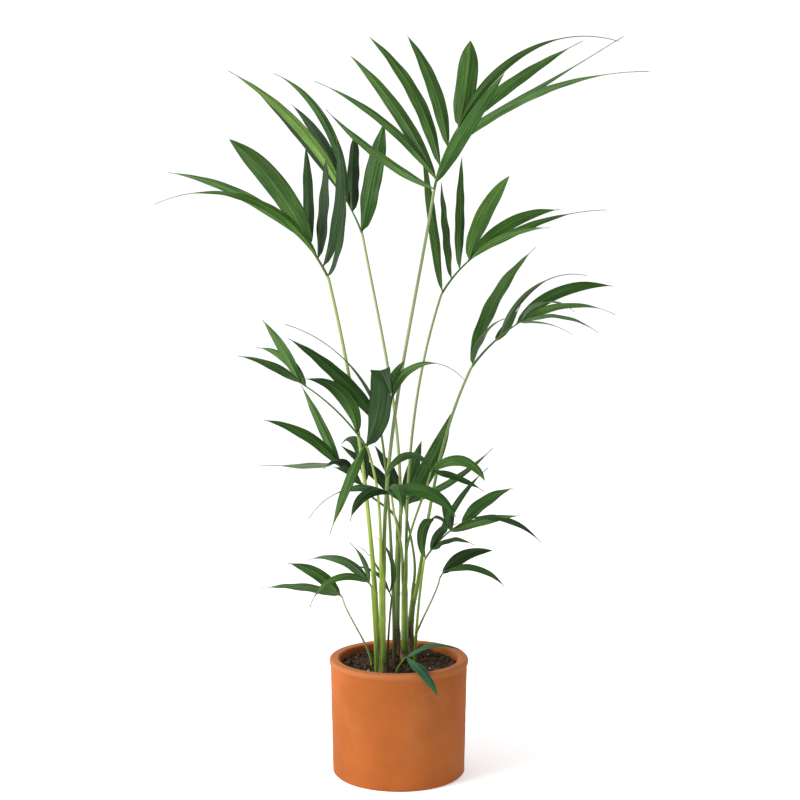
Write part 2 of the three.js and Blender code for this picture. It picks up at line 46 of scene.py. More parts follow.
# The fronds. A stalk stands on the soil at its foot, or on its stem's top at the bearing seat.
# neck is where the stalk ends and the rib begins, and lean is the stalk's rise there.
# rib is (length, bearing, rise, droop), and face is the way the blade's upper side looks.
# A leaflet is (place along the rib, bearing, rise, droop, length, width, tip fullness), where a
# plain tip needs no fullness. tones gives each leaflet's green by a letter, and green is the share
# of each leaflet before its tip's dried thread.
FRONDS = (
    dict(
        name="top", stem="stem_front", seat=45, neck=(47, 20, 793), lean=78, radii=(2.7, 2),
        skin="turning", rib=(94, 0, 80, 22), face=(-80, 20), tones="mmmmmmmmumd",
        green=(0.95, 0.9, 1, 1, 1, 1, 0.7, 0.9, 0.78, 0.82, 1),
        leaflets=(
            (0, 144, 24, -15, 221, 14), (0.16, 161, 51, 28, 226, 13), (0.13, 135, 61, 29, 248, 20),
            (0.34, 153, 77, 37, 212, 20), (0.65, -133, 78, 36, 164, 20), (1, 60, 63, -23, 121, 29, 3),
            (1, 33, 58, 67, 327, 13, 0.8), (0.98, 13, 43, 18, 213, 18), (0.81, -15, 29, 0, 261, 9, 0.9),
            (0.56, -26, 40, 43, 306, 12), (0.08, -59, 45, 11, 211, 20))),
    dict(
        name="upper_right", stem="stem_middle", seat=45, neck=(59, 90, 652), lean=61, radii=(2.2, 1.7),
        skin="turning", rib=(97, 7, 60, 30), face=(-55, 30), tones="mmmffmf",
        green=(1, 1, 1, 1, 0.96, 0.72, 0.95),
        leaflets=(
            (0, 180, 82, 0, 204, 16), (0.24, 99, 57, -4, 162, 15), (0.43, 84, 77, -3, 162, 16),
            (0.63, -38, 78, 36, 136, 25, 1.5), (0.6, 33, 48, 48, 185, 18, 1.5),
            (0.86, 19, 33, 33, 206, 12), (0.67, -29, 39, 39, 130, 11))),
    dict(
        name="right", stem="stem_back_right", seat=-20, neck=(96, -30, 560), lean=57, radii=(2.6, 1.8),
        skin="green", rib=(92, -4, 55, 24), face=(-50, 30), tones="mumgdmgug",
        green=(0.93, 1, 0.9, 0.62, 0.97, 0.85, 0.95, 0.92, 0.72),
        leaflets=(
            (0, -42, 78, 43, 194, 22), (0, -59, 71, 63, 109, 18), (0.51, 58, 26, -12, 83, 12),
            (0.6, 35, 66, 79, 187, 8), (0.9, 19, 47, 56, 156, 16, 1.6), (0.98, -9, 37, 65, 132, 11),
            (1, -40, 57, 96, 96, 10), (1, -40, 22, 55, 126, 11), (0.97, -43, 9, 36, 90, 9))),
    dict(
        name="upper_left", stem="stem_back_left", seat=45, neck=(-51, 105, 736), lean=76,
        radii=(2.3, 1.7), skin="plain", rib=(55, 173, 69, 10), face=(-125, 30), tones="pkdkkd",
        green=(0.97, 0.94, 0.94, 0.97, 1, 1),
        leaflets=(
            (1, -159, 65, 39, 245, 15), (1, 164, 55, 13, 222, 14), (0.89, 138, 85, 67, 254, 13),
            (0.77, 125, 57, 26, 220, 18), (0.6, 90, 39, -24, 143, 20, 3), (0, 26, 76, -2, 156, 29, 1.9))),
    dict(
        name="left", stem="stem_front_left", seat=0, neck=(-92, -40, 678), lean=77, radii=(3, 1.9),
        skin="bright", rib=(127, -176, 65, 32), face=(-120, 30), tones="fmmkkkk",
        green=(0.82, 0.96, 1, 1, 1, 1, 1),
        leaflets=(
            (0.19, -156, 60, 85, 256, 13), (0.5, 162, 42, 36, 215, 14),
            (0.35, -145, 63, 28, 184, 30, 1.9), (0.36, 96, 69, 25, 163, 15, 1.5),
            (0.21, 73, 75, -2, 137, 19, 1.6), (0.11, -35, 63, -38, 172, 20), (0, -69, 36, -37, 129, 15))),
    dict(
        name="mid_left", stem="stem_front", seat=225, neck=(-41, -60, 456), lean=65, radii=(2.1, 1.6),
        skin="bright", rib=(127, 176, 57, 26), face=(-115, 35), tones="mmmdkm",
        green=(0.97, 0.9, 0.95, 0.95, 1, 0.9),
        leaflets=(
            (0.98, 133, 50, 10, 114, 14), (0.91, 138, 54, 58, 113, 13), (0.98, -142, 38, 31, 106, 13),
            (0.16, -146, 86, 87, 125, 20), (0, 169, 115, 28, 103, 36, 3), (0.02, -118, -43, 12, 142, 15))),
    dict(
        name="mid_centre", foot=(-6, 26), neck=(-24, -31, 475), lean=60, radii=(2.6, 1.6), skin="shade",
        rib=(30, 25, 72, 5), face=(-80, 30), tones="dgmd", green=(0.98, 0.6, 0.72, 1),
        leaflets=(
            (0.12, -151, 56, 29, 187, 20), (0.25, -151, 72, 57, 208, 6, 0.8), (1, -34, 87, 132, 162, 13),
            (0.81, -39, 90, 47, 82, 14))),
    dict(
        name="lower_left", stem="stem_back_left", seat=200, neck=(-47, 34, 390), lean=66,
        radii=(1.9, 1.5), skin="shade", rib=(55, 176, 44, 12), face=(-110, 40), tones="dmgkdk",
        green=(0.97, 0.97, 0.72, 0.9, 0.95, 1),
        leaflets=(
            (0.73, -165, 54, 43, 133, 16, 1.4), (0.78, 129, 47, -5, 141, 14),
            (0.95, 148, -8, -5, 134, 11), (0.39, -133, 72, 115, 67, 13), (0, -128, 44, 35, 73, 15),
            (0, 118, 119, 167, 120, 17))),
    dict(
        name="front", stem="stem_middle", seat=165, neck=(-9, -62, 393), lean=66, radii=(1.9, 1.5),
        skin="bright", rib=(16, -110, 40, 20), face=(-90, 45), tones="ukdd",
        green=(0.6, 0.92, 0.98, 0.95),
        leaflets=(
            (0.09, -170, 29, 90, 127, 13), (0.6, -134, 29, 103, 90, 15, 1.5),
            (0.89, -16, 23, 83, 106, 21), (1, -75, 46, 120, 92, 16))),
    dict(
        name="centre_right", stem="stem_middle", seat=-75, neck=(43, -6, 416), lean=72, radii=(1.8, 1.4),
        skin="green", rib=(18, -20, 64, 10), face=(-75, 45), tones="mfd", green=(1, 1, 0.9),
        leaflets=(
            (0, -143, 66, 140, 102, 14, 1.5), (0, -12, 50, 121, 89, 19, 1.5), (0, 7, -12, 23, 80, 13))),
    dict(
        name="back", stem="stem_back_right", seat=160, neck=(9, 79, 352), lean=70, radii=(2, 1.5),
        skin="shade", rib=(26, 110, 60, 12), face=(-80, 35), tones="kkddd", green=(1, 1, 1, 1, 0.94),
        leaflets=(
            (0.25, 164, 46, 13, 122, 18), (0.25, 125, 57, 25, 105, 18), (0.09, 75, 43, 9, 126, 20),
            (0, 25, 51, -19, 148, 26), (0.19, -23, 22, -22, 160, 11))),
    dict(
        name="lower_right", foot=(22, 4), neck=(34, -30, 300), lean=66, radii=(2, 1.6), skin="bright",
        rib=(88, 0, 60, 36), face=(-70, 45), tones="dmkkkdud",
        green=(0.96, 0.97, 0.95, 0.9, 0.9, 0.95, 0.88, 1),
        leaflets=(
            (0.81, 15, 54, 45, 89, 19, 1.4), (0.58, -12, 27, 25, 100, 14), (1, -23, 17, 65, 107, 11),
            (0.14, -52, 65, 58, 83, 12), (0.16, -51, 41, 58, 95, 13), (0.6, 95, 50, 60, 90, 16),
            (0.3, 44, 58, 31, 139, 9), (0, -55, 130, 171, 106, 15))),
    dict(
        name="low_right", foot=(19, 72), neck=(57, 44, 260), lean=80, radii=(1.5, 1.2), skin="pale",
        rib=(12, 10, 60, 10), face=(-80, 45), tones="kdu", green=(1, 0.97, 0.97),
        leaflets=(
            (0.3, 20, 53, 66, 86, 19, 1.5), (0.9, -11, 27, 80, 95, 12), (0.9, 50, 38, 45, 62, 11))),
    dict(
        name="low_left", foot=(-37, -10), neck=(-75, -58, 256), lean=74, radii=(1.4, 1.1), skin="pale",
        rib=(14, -170, 50, 10), face=(-110, 45), tones="um", green=(0.9, 0.96),
        leaflets=(
            (0, 170, 21, 38, 113, 14), (0, -164, 54, 41, 88, 18))),
    dict(
        name="low_centre", foot=(-30.5, -44), neck=(-36, -55, 269), lean=84, radii=(1.6, 1.3),
        skin="bright", rib=(14, 170, 60, 10), face=(-100, 45), tones="umu", green=(0.92, 0.85, 0.85),
        leaflets=(
            (0.16, 162, 60, 89, 103, 15), (0.32, -157, 40, 118, 107, 12), (0.32, 163, 90, 55, 62, 7))),
    dict(
        name="small_back", foot=(-16, 0), neck=(-10, 2, 241), lean=84, radii=(1.5, 1.2), skin="dark",
        rib=(10, 165, 72, 5), face=(80, 45), tones="kkd", green=(0.95, 0.9, 0.95),
        leaflets=(
            (0.89, 185, 75, 78, 66, 9), (0.89, 168, 118, 87, 88, 7), (0.9, 130, 62, 50, 95, 11))),
    dict(
        name="small_front", foot=(-3, -44), neck=(6, -60, 172), lean=52, radii=(1.3, 1.1), skin="bright",
        rib=(8, -40, 40, 10), face=(-70, 60), tones="bb", green=(0.92, 0.95),
        leaflets=(
            (0.2, -20, 47, 74, 93, 12), (0.9, -54, -8, 45, 85, 15))),
)

# Sizes of the pot and the soil, as in the part's source. The steps of the hollow underside are
# pairs: how far inside the foot's edge each lies, and its height.
POT_HEIGHT = 160
RIM_RADIUS = 95
LIP_HEIGHT = 8
LIP_ROUND = 3
WALL_TOP_RADIUS = 93.4
FOOT_RADIUS = 90.5
FOOT_EDGE = 2.5
UNDERSIDE = ((14, 3.0), (10, 0.4), (8, 0))
MOUTH_RADIUS = 81.5
FLOOR_RADIUS = 76
FLOOR_THICKNESS = 13
SOIL_LEVEL = 149
CLEARANCE = 0.3

# Sizes of the growth rule, as in the part's source. Its two roll steps are in radians.
STALK_REACH = 0.36
RIB_TIP_RADIUS = 0.8
FIRST_LEAF_PLACE = 4
ROLL_STEP = 2.4
FROND_ROLL_STEP = 5
WIDEST_SHARE = 0.34
ROOT_BREADTH = 0.3
TIP_FULLNESS = 1.25

# A thin stalk with its own foot runs straighter here than in the part's source, and a leaflet
# rolls less about its run
FREE_STALK_REACH = 0.22
LEAF_ROLL = 9

# How finely the plant and the pot are made here
LEAF_RINGS = 52
LEAF_COLUMNS = 24
CREASE_RINGS = 14
ARC_STEPS = 120
STALK_SIDES = 20
STALK_RINGS = 64
STEM_RINGS = 72
POT_SIDES = 192
FOOT_STEPS = 4
WALL_STEPS = 96
BLEND_STEPS = 12
ROUND_STEPS = 8
MOUTH_STEPS = 30

# A leaflet's blade: its thickness, the pleats in each half, its folds and waves. A pair named
# for a start or an end holds the shares of the length between which a form grows or fades, and a
# form is whole only where half the blade, or all of it, is as wide as the width named for it. The
# waves of the two edges lie apart by a lag in radians. A growth, here and below, is the power by
# which a form grows. A tip without a thread is burnt from a place between the last two shares.
LEAF_THICKNESS = 0.5
LEAF_THINNING = 0.45
PLEATS = 2.5
PLEAT_HEIGHT = 0.2
PLEAT_START = (0.02, 0.2)
PLEAT_END = (0.6, 0.95)
PLEATED_HALF_WIDTH = 7
EDGE_THINNING = 0.6
MIDRIB_WIDTH = 0.06
MIDRIB_HEIGHT = 0.7
LEAST_HALF_WIDTH = 0.25
ROOT_PINCH = 0.35
PINCH_END = 0.07
TWIST = 9
TWIST_GROWTH = 1.5
SWAY = 0.012
WAVE_LENGTHS = (34, 58)
WAVE_HEIGHTS = (0.5, 1.1)
WAVE_START = (0.05, 0.3)
WAVE_GROWTH = 3
WAVE_LAG = 1.7
WAVING_HALF_WIDTH = 5
WAVING_WIDTH = 18
ROOT_FOLDS = (38, 50)
ROOT_FOLD_END = 0.4
BLADE_FOLDS = (11, 21)
FOLD_EASING = 0.25
FOLD_NARROWING = 0.6
TIP_FOLD = 12
TIP_FOLD_START = (0.75, 1.0)
BURNT_TIPS = (0.955, 0.985)

# The dried thread at the end of a leaflet: its width, how much of that is left at its tip, where
# it turns fully dry, and the share of the green part where it takes over
THREAD_WIDTH = 2.5
THREAD_TIP_SHARE = 0.45
THREAD_END = 0.93
THREAD_START = 0.97

# Seeds of the random draws: the stalks share one, each leaflet has its own, numbered by frond and
# leaflet, and the husks' own ones follow the last
STALK_SEED = 5
SEEDS_PER_FROND = 40
HUSK_SEED = 70

# How far a blade's run must lean away from the way it looks to take its level from that way
FACE_TRUST = (0.2, 0.7)

# Millimetres to a unit of the UV map named surface, which runs across and along a leaflet, and
# millimetres from one vein to the next
VEIN_UNIT = 30.0
VEIN_SPACING = 3.6

# The broad leaflet whose end hangs over its face: its whole length against the solid's, the shares
# of its length where the crease starts and ends, how far it turns, how far the crease tilts, and
# how much of the blade's fold goes flat there, over which share of its length
FOLDED_LEAF = ("mid_left", 4)
FOLDED_LENGTH = 1.41
FOLDED_FULLNESS = 1.3
CREASE_START = 0.69
CREASE_END = 0.74
CREASE_TURN = -163
CREASE_TILT = 20
CREASE_FLATNESS = 0.85
CREASE_SPREAD = 0.09

# A stem's foot, the scars of its old leaf bases, and the sheath that closes round its stalks over
# a share of the sheath's depth
STEM_SWELLING = 0.3
STEM_SWELLING_HEIGHT = 10
SCAR_SHARES = (0.22, 0.48, 0.74)
SCAR_HEIGHT = 0.35
SCAR_WIDTH = 2.2
SHEATH_DEPTH = 46
SHEATH_CLOSING = 0.72
CLOSING_SHARE = 0.8
CLOSING_GROWTH = 1.6

# A stalk swells at its own foot, or is held close in its stem and thicker up to the clasp's end,
# in depths of the sheath. It has a groove on its upper side and a few faint knots.
STALK_SWELLING = 0.35
STALK_SWELLING_HEIGHT = 26
CLASP_SWELLING = 0.18
CLASP_END = (0.4, 2.2)
CLASP_CLOSENESS = 0.25
STALK_GROOVE = 0.16
KNOTS = 2
KNOT_PLACES = (0.1, 0.9)
KNOT_HEIGHT = 0.12
KNOT_WIDTH = 5

# Dry husks on the stems: stem, lowest and highest point, bearing and spread. Each is torn into
# strips that narrow to a point and curl outwards, and its UV map runs up it at its own scale.
HUSKS = (
    ("stem_front", 148, 232, 188, 100),
    ("stem_front", 148, 176, 330, 120),
    ("stem_back_left", 148, 192, -95, 170),
    ("stem_middle", 148, 178, 215, 150),
    ("stem_back_right", 148, 204, -110, 230),
    ("stem_front_left", 148, 172, 20, 130),
)
HUSK_COLUMNS = 44
HUSK_RINGS = 18
HUSK_THICKNESS = 0.25
HUSK_GAP = 0.3
STRIP_COLUMNS = (4, 8)
STRIP_HEIGHTS = (0.45, 1.0)
STRIP_LIFTS = (0.1, 1.5)
STRIP_POINT = 0.45
STRIP_POINT_GROWTH = 1.5
STRIP_CURL_GROWTH = 3
HUSK_UV_SCALE = 10

# The lip runs into the wall over twice this height
LIP_BLEND = 2.4

# How the pot leaves a true round. Each unevenness is its depth, its fineness round the pot and
# its fineness up the wall. The groove under the lip is its depth, its place below the rim and its
# width. The wall's unevenness ends, and the lip's begins, with this margin.
BULGE = (0.35, 1.3, 0.026)
THROWING_LINES = ((0.16, 0.3, 0.55), (0.07, 0.93, 1.705))
LIP_WAVER = (0.12, 3, 0.3)
GROOVE = (0.14, 13.5, 1.6)
UNEVEN_MARGIN = 1

# In metres, as the materials read places: one small chip with its inner and outer radius, and the
# heights between which the lip's pale bloom begins
CHIP_PLACE = (0.0765, -0.0546, 0.1205)
CHIP_SIZES = (0.0006, 0.0015)
LIP_BLOOM = (0.149, 0.159)

# The soil's surface: its rings and spokes, the dip at its edge, lumps as pairs of height and
# fineness, and grains that only rise. A skirt that stays clear of the pot closes it below.
SOIL_RINGS = 70
SOIL_SPOKES = 220
SOIL_EDGE_DIP = 1.2
SOIL_EDGE_WIDTH = 5
SOIL_LUMPS = ((2.1, 0.045), (1.5, 0.13), (0.55, 0.8))
SOIL_GRAINS = (1.1, 0.33)
SOIL_SINKING = 0.6
SKIRT_DEPTH = 12
SKIRT_GAP = 1

# Lumps that lie on the soil: most are small, each keeps this many times its size from the wall
# and rises by a share of its size, and some lie in the band along the wall
LUMP_SMALLNESS = 2.2
LUMP_ROOM = 1.2
LUMP_RISE = 0.3
LUMP_BAND = 0.12
LUMP_STRETCHES = ((0.7, 1.3), (0.7, 1.3), (0.6, 1.0))
LUMP_FINENESS = 1.6
LUMP_SHEAR = 0.4
NOISE_SPREAD = 50

# Bits of root and bark: they start this much above the soil and with this much room to the wall,
# and one that reaches out over that room by more than the overhang is left out
FIBRE_LENGTHS = (4, 13)
FIBRE_RISES = (5, 30)
FIBRE_DROOPS = (30, 70)
FIBRE_RADII = (0.25, 0.6)
FIBRE_TAPER = 0.5
FIBRE_RINGS = 6
FIBRE_SIDES = 6
FIBRE_LIFT = 0.7
FIBRE_ROOM = 6
FIBRE_OVERHANG = 4

# The white behind the plant, and the light that falls from all round: it grows between two leans
# towards its bright side, from one strength to the other
BACKDROP_STRENGTH = 1.08
BRIGHT_SIDE = (-0.5, 0.62, 0.1)
LEAN_RANGE = (-0.5, 0.5)
SIDE_STRENGTHS = (0.42, 1.08)
WHITE = (1.0, 1.0, 1.0, 1.0)

# The lamps, in metres, and the floor, which reaches this many millimetres each way
LAMPS = (
    dict(
        name="key", place=(-2.1, -1.2, 1.5), aim=(0, 0, 0.4), size=1.5, power=85,
        colour=(1.0, 0.985, 0.96),
    ),
    dict(
        name="fill", place=(0.5, -2.3, 2.2), aim=(0, 0, 0.5), size=1.6, power=6,
        colour=(0.97, 0.985, 1.0),
    ),
)
FLOOR_REACH = 9000
FLOOR_COLOUR = (0.93, 0.93, 0.93)
FLOOR_GLOW = 0.34

# The camera stands in front of the pot, level with the crown, and looks down a little. Its place
# and the range that it sees are in metres.
CAMERA_PLACE = (0.0016, -2.15, 0.74)
CAMERA_PITCH = 6.0
PICTURE_WIDTH = 800
FOCAL_PIXELS = 1602.6
SENSOR_WIDTH = 36.0
CLIP_RANGE = (0.05, 60.0)

# Each leaf green: darkest, lightest and vein. The tones are partly the leaflets' own greens and partly
# painted light: k and d are painted shade for leaflets that hang in shade, and p is a painted backlit
# sheen. A leaflet of a tone with painted shade has the underside with painted shade.
LEAF_GREENS = {
    "d": ((0.011, 0.042, 0.005), (0.032, 0.094, 0.012), (0.066, 0.138, 0.03)),
    "m": ((0.021, 0.062, 0.01), (0.057, 0.13, 0.023), (0.098, 0.18, 0.046)),
    "f": ((0.028, 0.084, 0.009), (0.068, 0.16, 0.024), (0.115, 0.22, 0.05)),
    "k": ((0.006, 0.021, 0.004), (0.017, 0.047, 0.009), (0.034, 0.076, 0.022)),
    "u": ((0.024, 0.062, 0.016), (0.054, 0.108, 0.036), (0.09, 0.152, 0.062)),
    "g": ((0.044, 0.08, 0.032), (0.088, 0.132, 0.064), (0.126, 0.166, 0.092)),
    "b": ((0.008, 0.044, 0.016), (0.024, 0.096, 0.04), (0.055, 0.145, 0.07)),
    "p": ((0.08, 0.17, 0.028), (0.16, 0.27, 0.062), (0.22, 0.33, 0.11)),
}
UNDERSIDE_GREEN = ((0.036, 0.082, 0.022), (0.07, 0.132, 0.042), (0.11, 0.172, 0.07))
# The darker underside of the leaflets of tones k and d is painted shade
SHADED_UNDERSIDE_GREEN = ((0.011, 0.034, 0.007), (0.026, 0.064, 0.015), (0.044, 0.09, 0.028))
SHADED_TONES = "kd"

# Each skin of the stems and stalks: darkest, lightest, marks, and the colours that it turns to
# at the soil and high up. The skins bright, plain, shade and dark are partly the stalks' own greens
# and partly painted light and shade: shade and dark are painted shade for the stems and stalks at
# the back, and bright is painted light on those in front.
SKINS = {
    # partly painted light, for the stems and stalks in front
    "bright": (
        (0.06, 0.15, 0.006), (0.29, 0.37, 0.042), (0.1, 0.09, 0.03),
        (0.066, 0.17, 0.006), (0.245, 0.3, 0.125)),
    "green": (
        (0.045, 0.115, 0.008), (0.2, 0.29, 0.04), (0.07, 0.06, 0.02),
        (0.055, 0.13, 0.01), (0.22, 0.29, 0.1)),
    "turning": (
        (0.034, 0.085, 0.008), (0.13, 0.2, 0.034), (0.06, 0.05, 0.02),
        (0.04, 0.1, 0.008), (0.32, 0.37, 0.19)),
    "pale": (
        (0.2, 0.24, 0.11), (0.4, 0.43, 0.27), (0.16, 0.14, 0.08),
        (0.16, 0.25, 0.035), (0.4, 0.43, 0.28)),
    "plain": (
        (0.085, 0.155, 0.022), (0.24, 0.31, 0.085), (0.08, 0.07, 0.03),
        (0.12, 0.17, 0.04), (0.25, 0.3, 0.14)),
    # partly painted shade, for the stems and stalks at the back
    "shade": (
        (0.035, 0.08, 0.01), (0.12, 0.18, 0.034), (0.05, 0.04, 0.02),
        (0.034, 0.026, 0.011), (0.18, 0.24, 0.08)),
    # painted shade, for the small stalk deep at the back
    "dark": (
        (0.016, 0.028, 0.009), (0.046, 0.06, 0.022), (0.03, 0.02, 0.01),
        (0.022, 0.018, 0.009), (0.046, 0.06, 0.022)),
    "rib": (
        (0.026, 0.066, 0.008), (0.08, 0.145, 0.026), (0.05, 0.05, 0.02),
        (0.06, 0.12, 0.02), (0.052, 0.104, 0.018)),
}

# The heights in metres between which a skin turns to its colour at the soil, and high up
SOIL_TURN = (0.158, 0.225)
HIGH_TURN = (0.31, 0.52)

# Darkest, lightest and marks of the other streaked surfaces
DRY_COLOURS = ((0.095, 0.09, 0.066), (0.2, 0.185, 0.14), (0.05, 0.04, 0.03))
THREAD_COLOURS = ((0.1, 0.105, 0.075), (0.22, 0.22, 0.17), (0.1, 0.09, 0.07))
HUSK_COLOURS = ((0.04, 0.02, 0.01), (0.36, 0.24, 0.12), (0.045, 0.02, 0.01))
FIBRE_COLOURS = ((0.06, 0.035, 0.02), (0.19, 0.12, 0.07), (0.02, 0.01, 0.01))

# Colours of the pot and of what fills it
CLAY_DARK = (0.292, 0.074, 0.009)
CLAY_LIGHT = (0.38, 0.101, 0.016)
CLAY_CLOUD = (0.41, 0.15, 0.042)
CLAY_LINE = (0.27, 0.07, 0.01)
CLAY_GRIT = (0.19, 0.06, 0.02)
CLAY_BLOOM = (0.46, 0.19, 0.075)
CLAY_CHIP = (0.12, 0.025, 0.008)
SOIL_COLOURS = ((0.013, 0.007, 0.004), (0.07, 0.04, 0.024))
CRUMB_COLOURS = ((0.018, 0.01, 0.006), (0.095, 0.055, 0.033))
PERLITE_COLOUR = (0.62, 0.6, 0.56)

# How a surface takes light
LEAF_ROUGHNESS = 0.42
UNDERSIDE_ROUGHNESS = 0.55
SKIN_ROUGHNESS = 0.42
CLAY_ROUGHNESS = 0.86
SOIL_ROUGHNESS = 0.95
LEAF_SPECULAR = 0.15
SOIL_SPECULAR = 0.2
SPECULAR = 0.3

# The patterns: the fineness of a leaf's streaks across and along it, the half widths between which
# its midrib fades, the fineness of other streaks along a limb, how softly marks begin, and the
# stretch of the clay's clouds and of its turning lines
LEAF_STREAKS = (17.0, 0.7, 1.0)
MIDRIB_BAND = (0.4, 1.1)
STREAKS_ALONG = 9.0
MARK_SOFTNESS = 0.05
CLOUD_STRETCH = (1.0, 1.0, 0.6)
LINE_STRETCH = (4.0, 4.0, 420.0)

# Where a mix node has its two colours and its mixed colour
MIX_COLOURS = slice(6, 8)
MIXED_COLOUR = 2

UPRIGHT = np.array([0.0, 0.0, 1.0])

chance = random.Random(STALK_SEED)


def unit(vector):
    return vector / np.linalg.norm(vector)


def heading(bearing, rise):
    """The way that a bearing and a rise point."""
    bearing, rise = radians(bearing), radians(rise)
    flat = cos(rise)
    return np.array([flat * cos(bearing), flat * sin(bearing), sin(rise)])


def turned_about(vector, axis, angle):
    return (
        vector * cos(angle)
        + np.cross(axis, vector) * sin(angle)
        + axis * np.dot(axis, vector) * (1 - cos(angle))
    )


def smooth(low, high, value):
    """Zero up to low, one from high on, and an even curve between them."""
    share = min(1.0, max(0.0, (value - low) / (high - low)))
    return share * share * (3 - 2 * share)


def hump(offset, width):
    """A smooth hump, as high as one where the offset is zero."""
    return exp(-((offset / width) ** 2))


def on_circle(radius, turn):
    return radius * cos(turn), radius * sin(turn)


def even_shares(steps):
    return [step / steps for step in range(steps + 1)]


def walk(start, length, direction_at, shares):
    """The point at each share of a path that runs along a changing direction."""
    points = []
    point = np.array(start, float)
    reached = 0.0
    for share in shares:
        pieces = max(1, round((share - reached) * ARC_STEPS))
        step = (share - reached) / pieces
        for piece in range(pieces):
            point = point + direction_at(reached + step * (piece + 0.5)) * length * step
        reached = share
        points.append(point)
    return points


def arc(start, length, bearing, rise, droop, shares):
    """The point and direction at each share of an arc that bends down evenly."""
    def direction_at(share):
        return heading(bearing, rise - droop * share)

    points = walk(start, length, direction_at, shares)
    return [(point, direction_at(share)) for point, share in zip(points, shares)]


def bend(start, end, start_direction, end_direction, rings, pull=STALK_REACH):
    """A smooth path that leaves its start and reaches its end at the given directions."""
    reach = np.linalg.norm(end - start) * pull
    first = start + start_direction * reach
    second = end - end_direction * reach
    path = []
    for share in even_shares(rings):
        rest = 1 - share
        point = (
            start * rest**3 + first * 3 * rest**2 * share
            + second * 3 * rest * share**2 + end * share**3
        )
        along = (
            (first - start) * rest**2 + (second - first) * 2 * rest * share
            + (end - second) * share**2
        )
        path.append((point, unit(along)))
    return path


def stem_named(name):
    return next(stem for stem in STEMS if stem["name"] == name)


def top_direction(stem):
    """A stem leaves the soil upright, and this is the way it points at its top."""
    line = np.array(stem["top"], float) - np.array([*stem["foot"], SOIL_LEVEL])
    return unit(unit(line) * 2 - UPRIGHT)


def stem_path(stem):
    start = np.array([*stem["foot"], SOIL_LEVEL + CLEARANCE], float)
    end = np.array(stem["top"], float)
    return bend(start, end, UPRIGHT, top_direction(stem), STEM_RINGS)


def seat_offset(frond):
    """How far a stalk on a stem stands from the middle of the stem's top."""
    sharing = [other for other in FRONDS if other.get("stem") == frond["stem"]]
    if len(sharing) == 1:
        return np.zeros(3)
    thickest = max(other["radii"][0] for other in sharing)
    direction = top_direction(stem_named(frond["stem"]))
    side = heading(frond["seat"], 0)
    side = unit(side - direction * np.dot(side, direction))
    return side * (thickest + CLEARANCE) / sin(pi / len(sharing))


def stalk_foot(frond):
    """Where a stalk starts, and the way it points there."""
    if "foot" in frond:
        return np.array([*frond["foot"], SOIL_LEVEL + CLEARANCE], float), UPRIGHT
    stem = stem_named(frond["stem"])
    direction = top_direction(stem)
    return np.array(stem["top"], float) + seat_offset(frond) + direction * CLEARANCE, direction


def stalk_path(frond):
    start, direction = stalk_foot(frond)
    neck = np.array(frond["neck"], float)
    bearing = degrees(atan2(neck[1] - start[1], neck[0] - start[0]))
    pull = FREE_STALK_REACH if "foot" in frond else STALK_REACH
    return bend(start, neck, direction, heading(bearing, frond["lean"]), STALK_RINGS, pull)


# Meshes

def mesh_object(name, points, faces, material_list, face_slots=None, uvs=None):
    """One smooth object from points in millimetres, with a UV map named surface."""
    mesh = bpy.data.meshes.new(name)
    mesh.from_pydata((np.asarray(points) * MM).tolist(), [], faces)
    for material in material_list:
        mesh.materials.append(material)
    if face_slots is not None:
        mesh.polygons.foreach_set("material_index", face_slots)
    if uvs is not None:
        layer = mesh.uv_layers.new(name="surface")
        corners = np.empty(len(mesh.loops), dtype=np.int32)
        mesh.loops.foreach_get("vertex_index", corners)
        layer.data.foreach_set("uv", np.asarray(uvs, dtype=np.float32)[corners].ravel())
    mesh.polygons.foreach_set("use_smooth", [True] * len(mesh.polygons))
    mesh.validate()
    mesh.update()
    piece = bpy.data.objects.new(name, mesh)
    bpy.context.scene.collection.objects.link(piece)
    return piece


def moved_faces(faces, first):
    return [tuple(corner + first for corner in corners) for corners in faces]


def ring_faces(rings, corners):
    """The four-cornered faces of a closed tube of rings."""
    faces = []
    for ring in range(rings - 1):
        for corner in range(corners):
            here = ring * corners + corner
            beside = ring * corners + (corner + 1) % corners
            faces.append((here, beside, beside + corners, here + corners))
    return faces


def tube(path, radius_at, sides, face=UPRIGHT, groove=0.0, groove_width=0.5):
    """A round limb along a path, with a shallow groove on the side that looks along face."""
    points, uvs = [], []
    side = np.array([1.0, 0.0, 0.0])
    length = 0.0
    for index, (point, direction) in enumerate(path):
        if index:
            length += np.linalg.norm(point - path[index - 1][0])
        side = unit(side - direction * np.dot(side, direction))
        across = np.cross(direction, side)
        radius = radius_at(index / (len(path) - 1), length)
        groove_turn = atan2(np.dot(face, across), np.dot(face, side))
        for corner in range(sides):
            turn = corner / sides * tau
            away = (turn - groove_turn + pi) % tau - pi
            depth = 1 - groove * hump(away, groove_width)
            points.append(point + (side * cos(turn) + across * sin(turn)) * radius * depth)
            uvs.append((corner / sides, length * MM))
    faces = ring_faces(len(path), sides)
    faces.append(tuple(reversed(range(sides))))
    last = (len(path) - 1) * sides
    faces.append(tuple(range(last, last + sides)))
    return points, faces, uvs


# Leaflets

def breadth(share, fullness):
    """How broad a leaflet is at a share of its length, against its broadest place."""
    if share < WIDEST_SHARE:
        return ROOT_BREADTH + (1 - ROOT_BREADTH) * sin(pi / 2 * share / WIDEST_SHARE)
    return cos(pi / 2 * min(1, (share - WIDEST_SHARE) / (1 - WIDEST_SHARE)) ** fullness)


def level_way(face, direction, carried):
    """The way across a blade that looks along face, kept steady where the blade runs along face too."""
    level = np.cross(face, direction)
    trust = smooth(*FACE_TRUST, np.linalg.norm(level))
    carried = unit(carried - direction * np.dot(carried, direction))
    if np.dot(level, carried) < 0:
        level = -level
    return unit(unit(level) * trust + carried * (1 - trust))


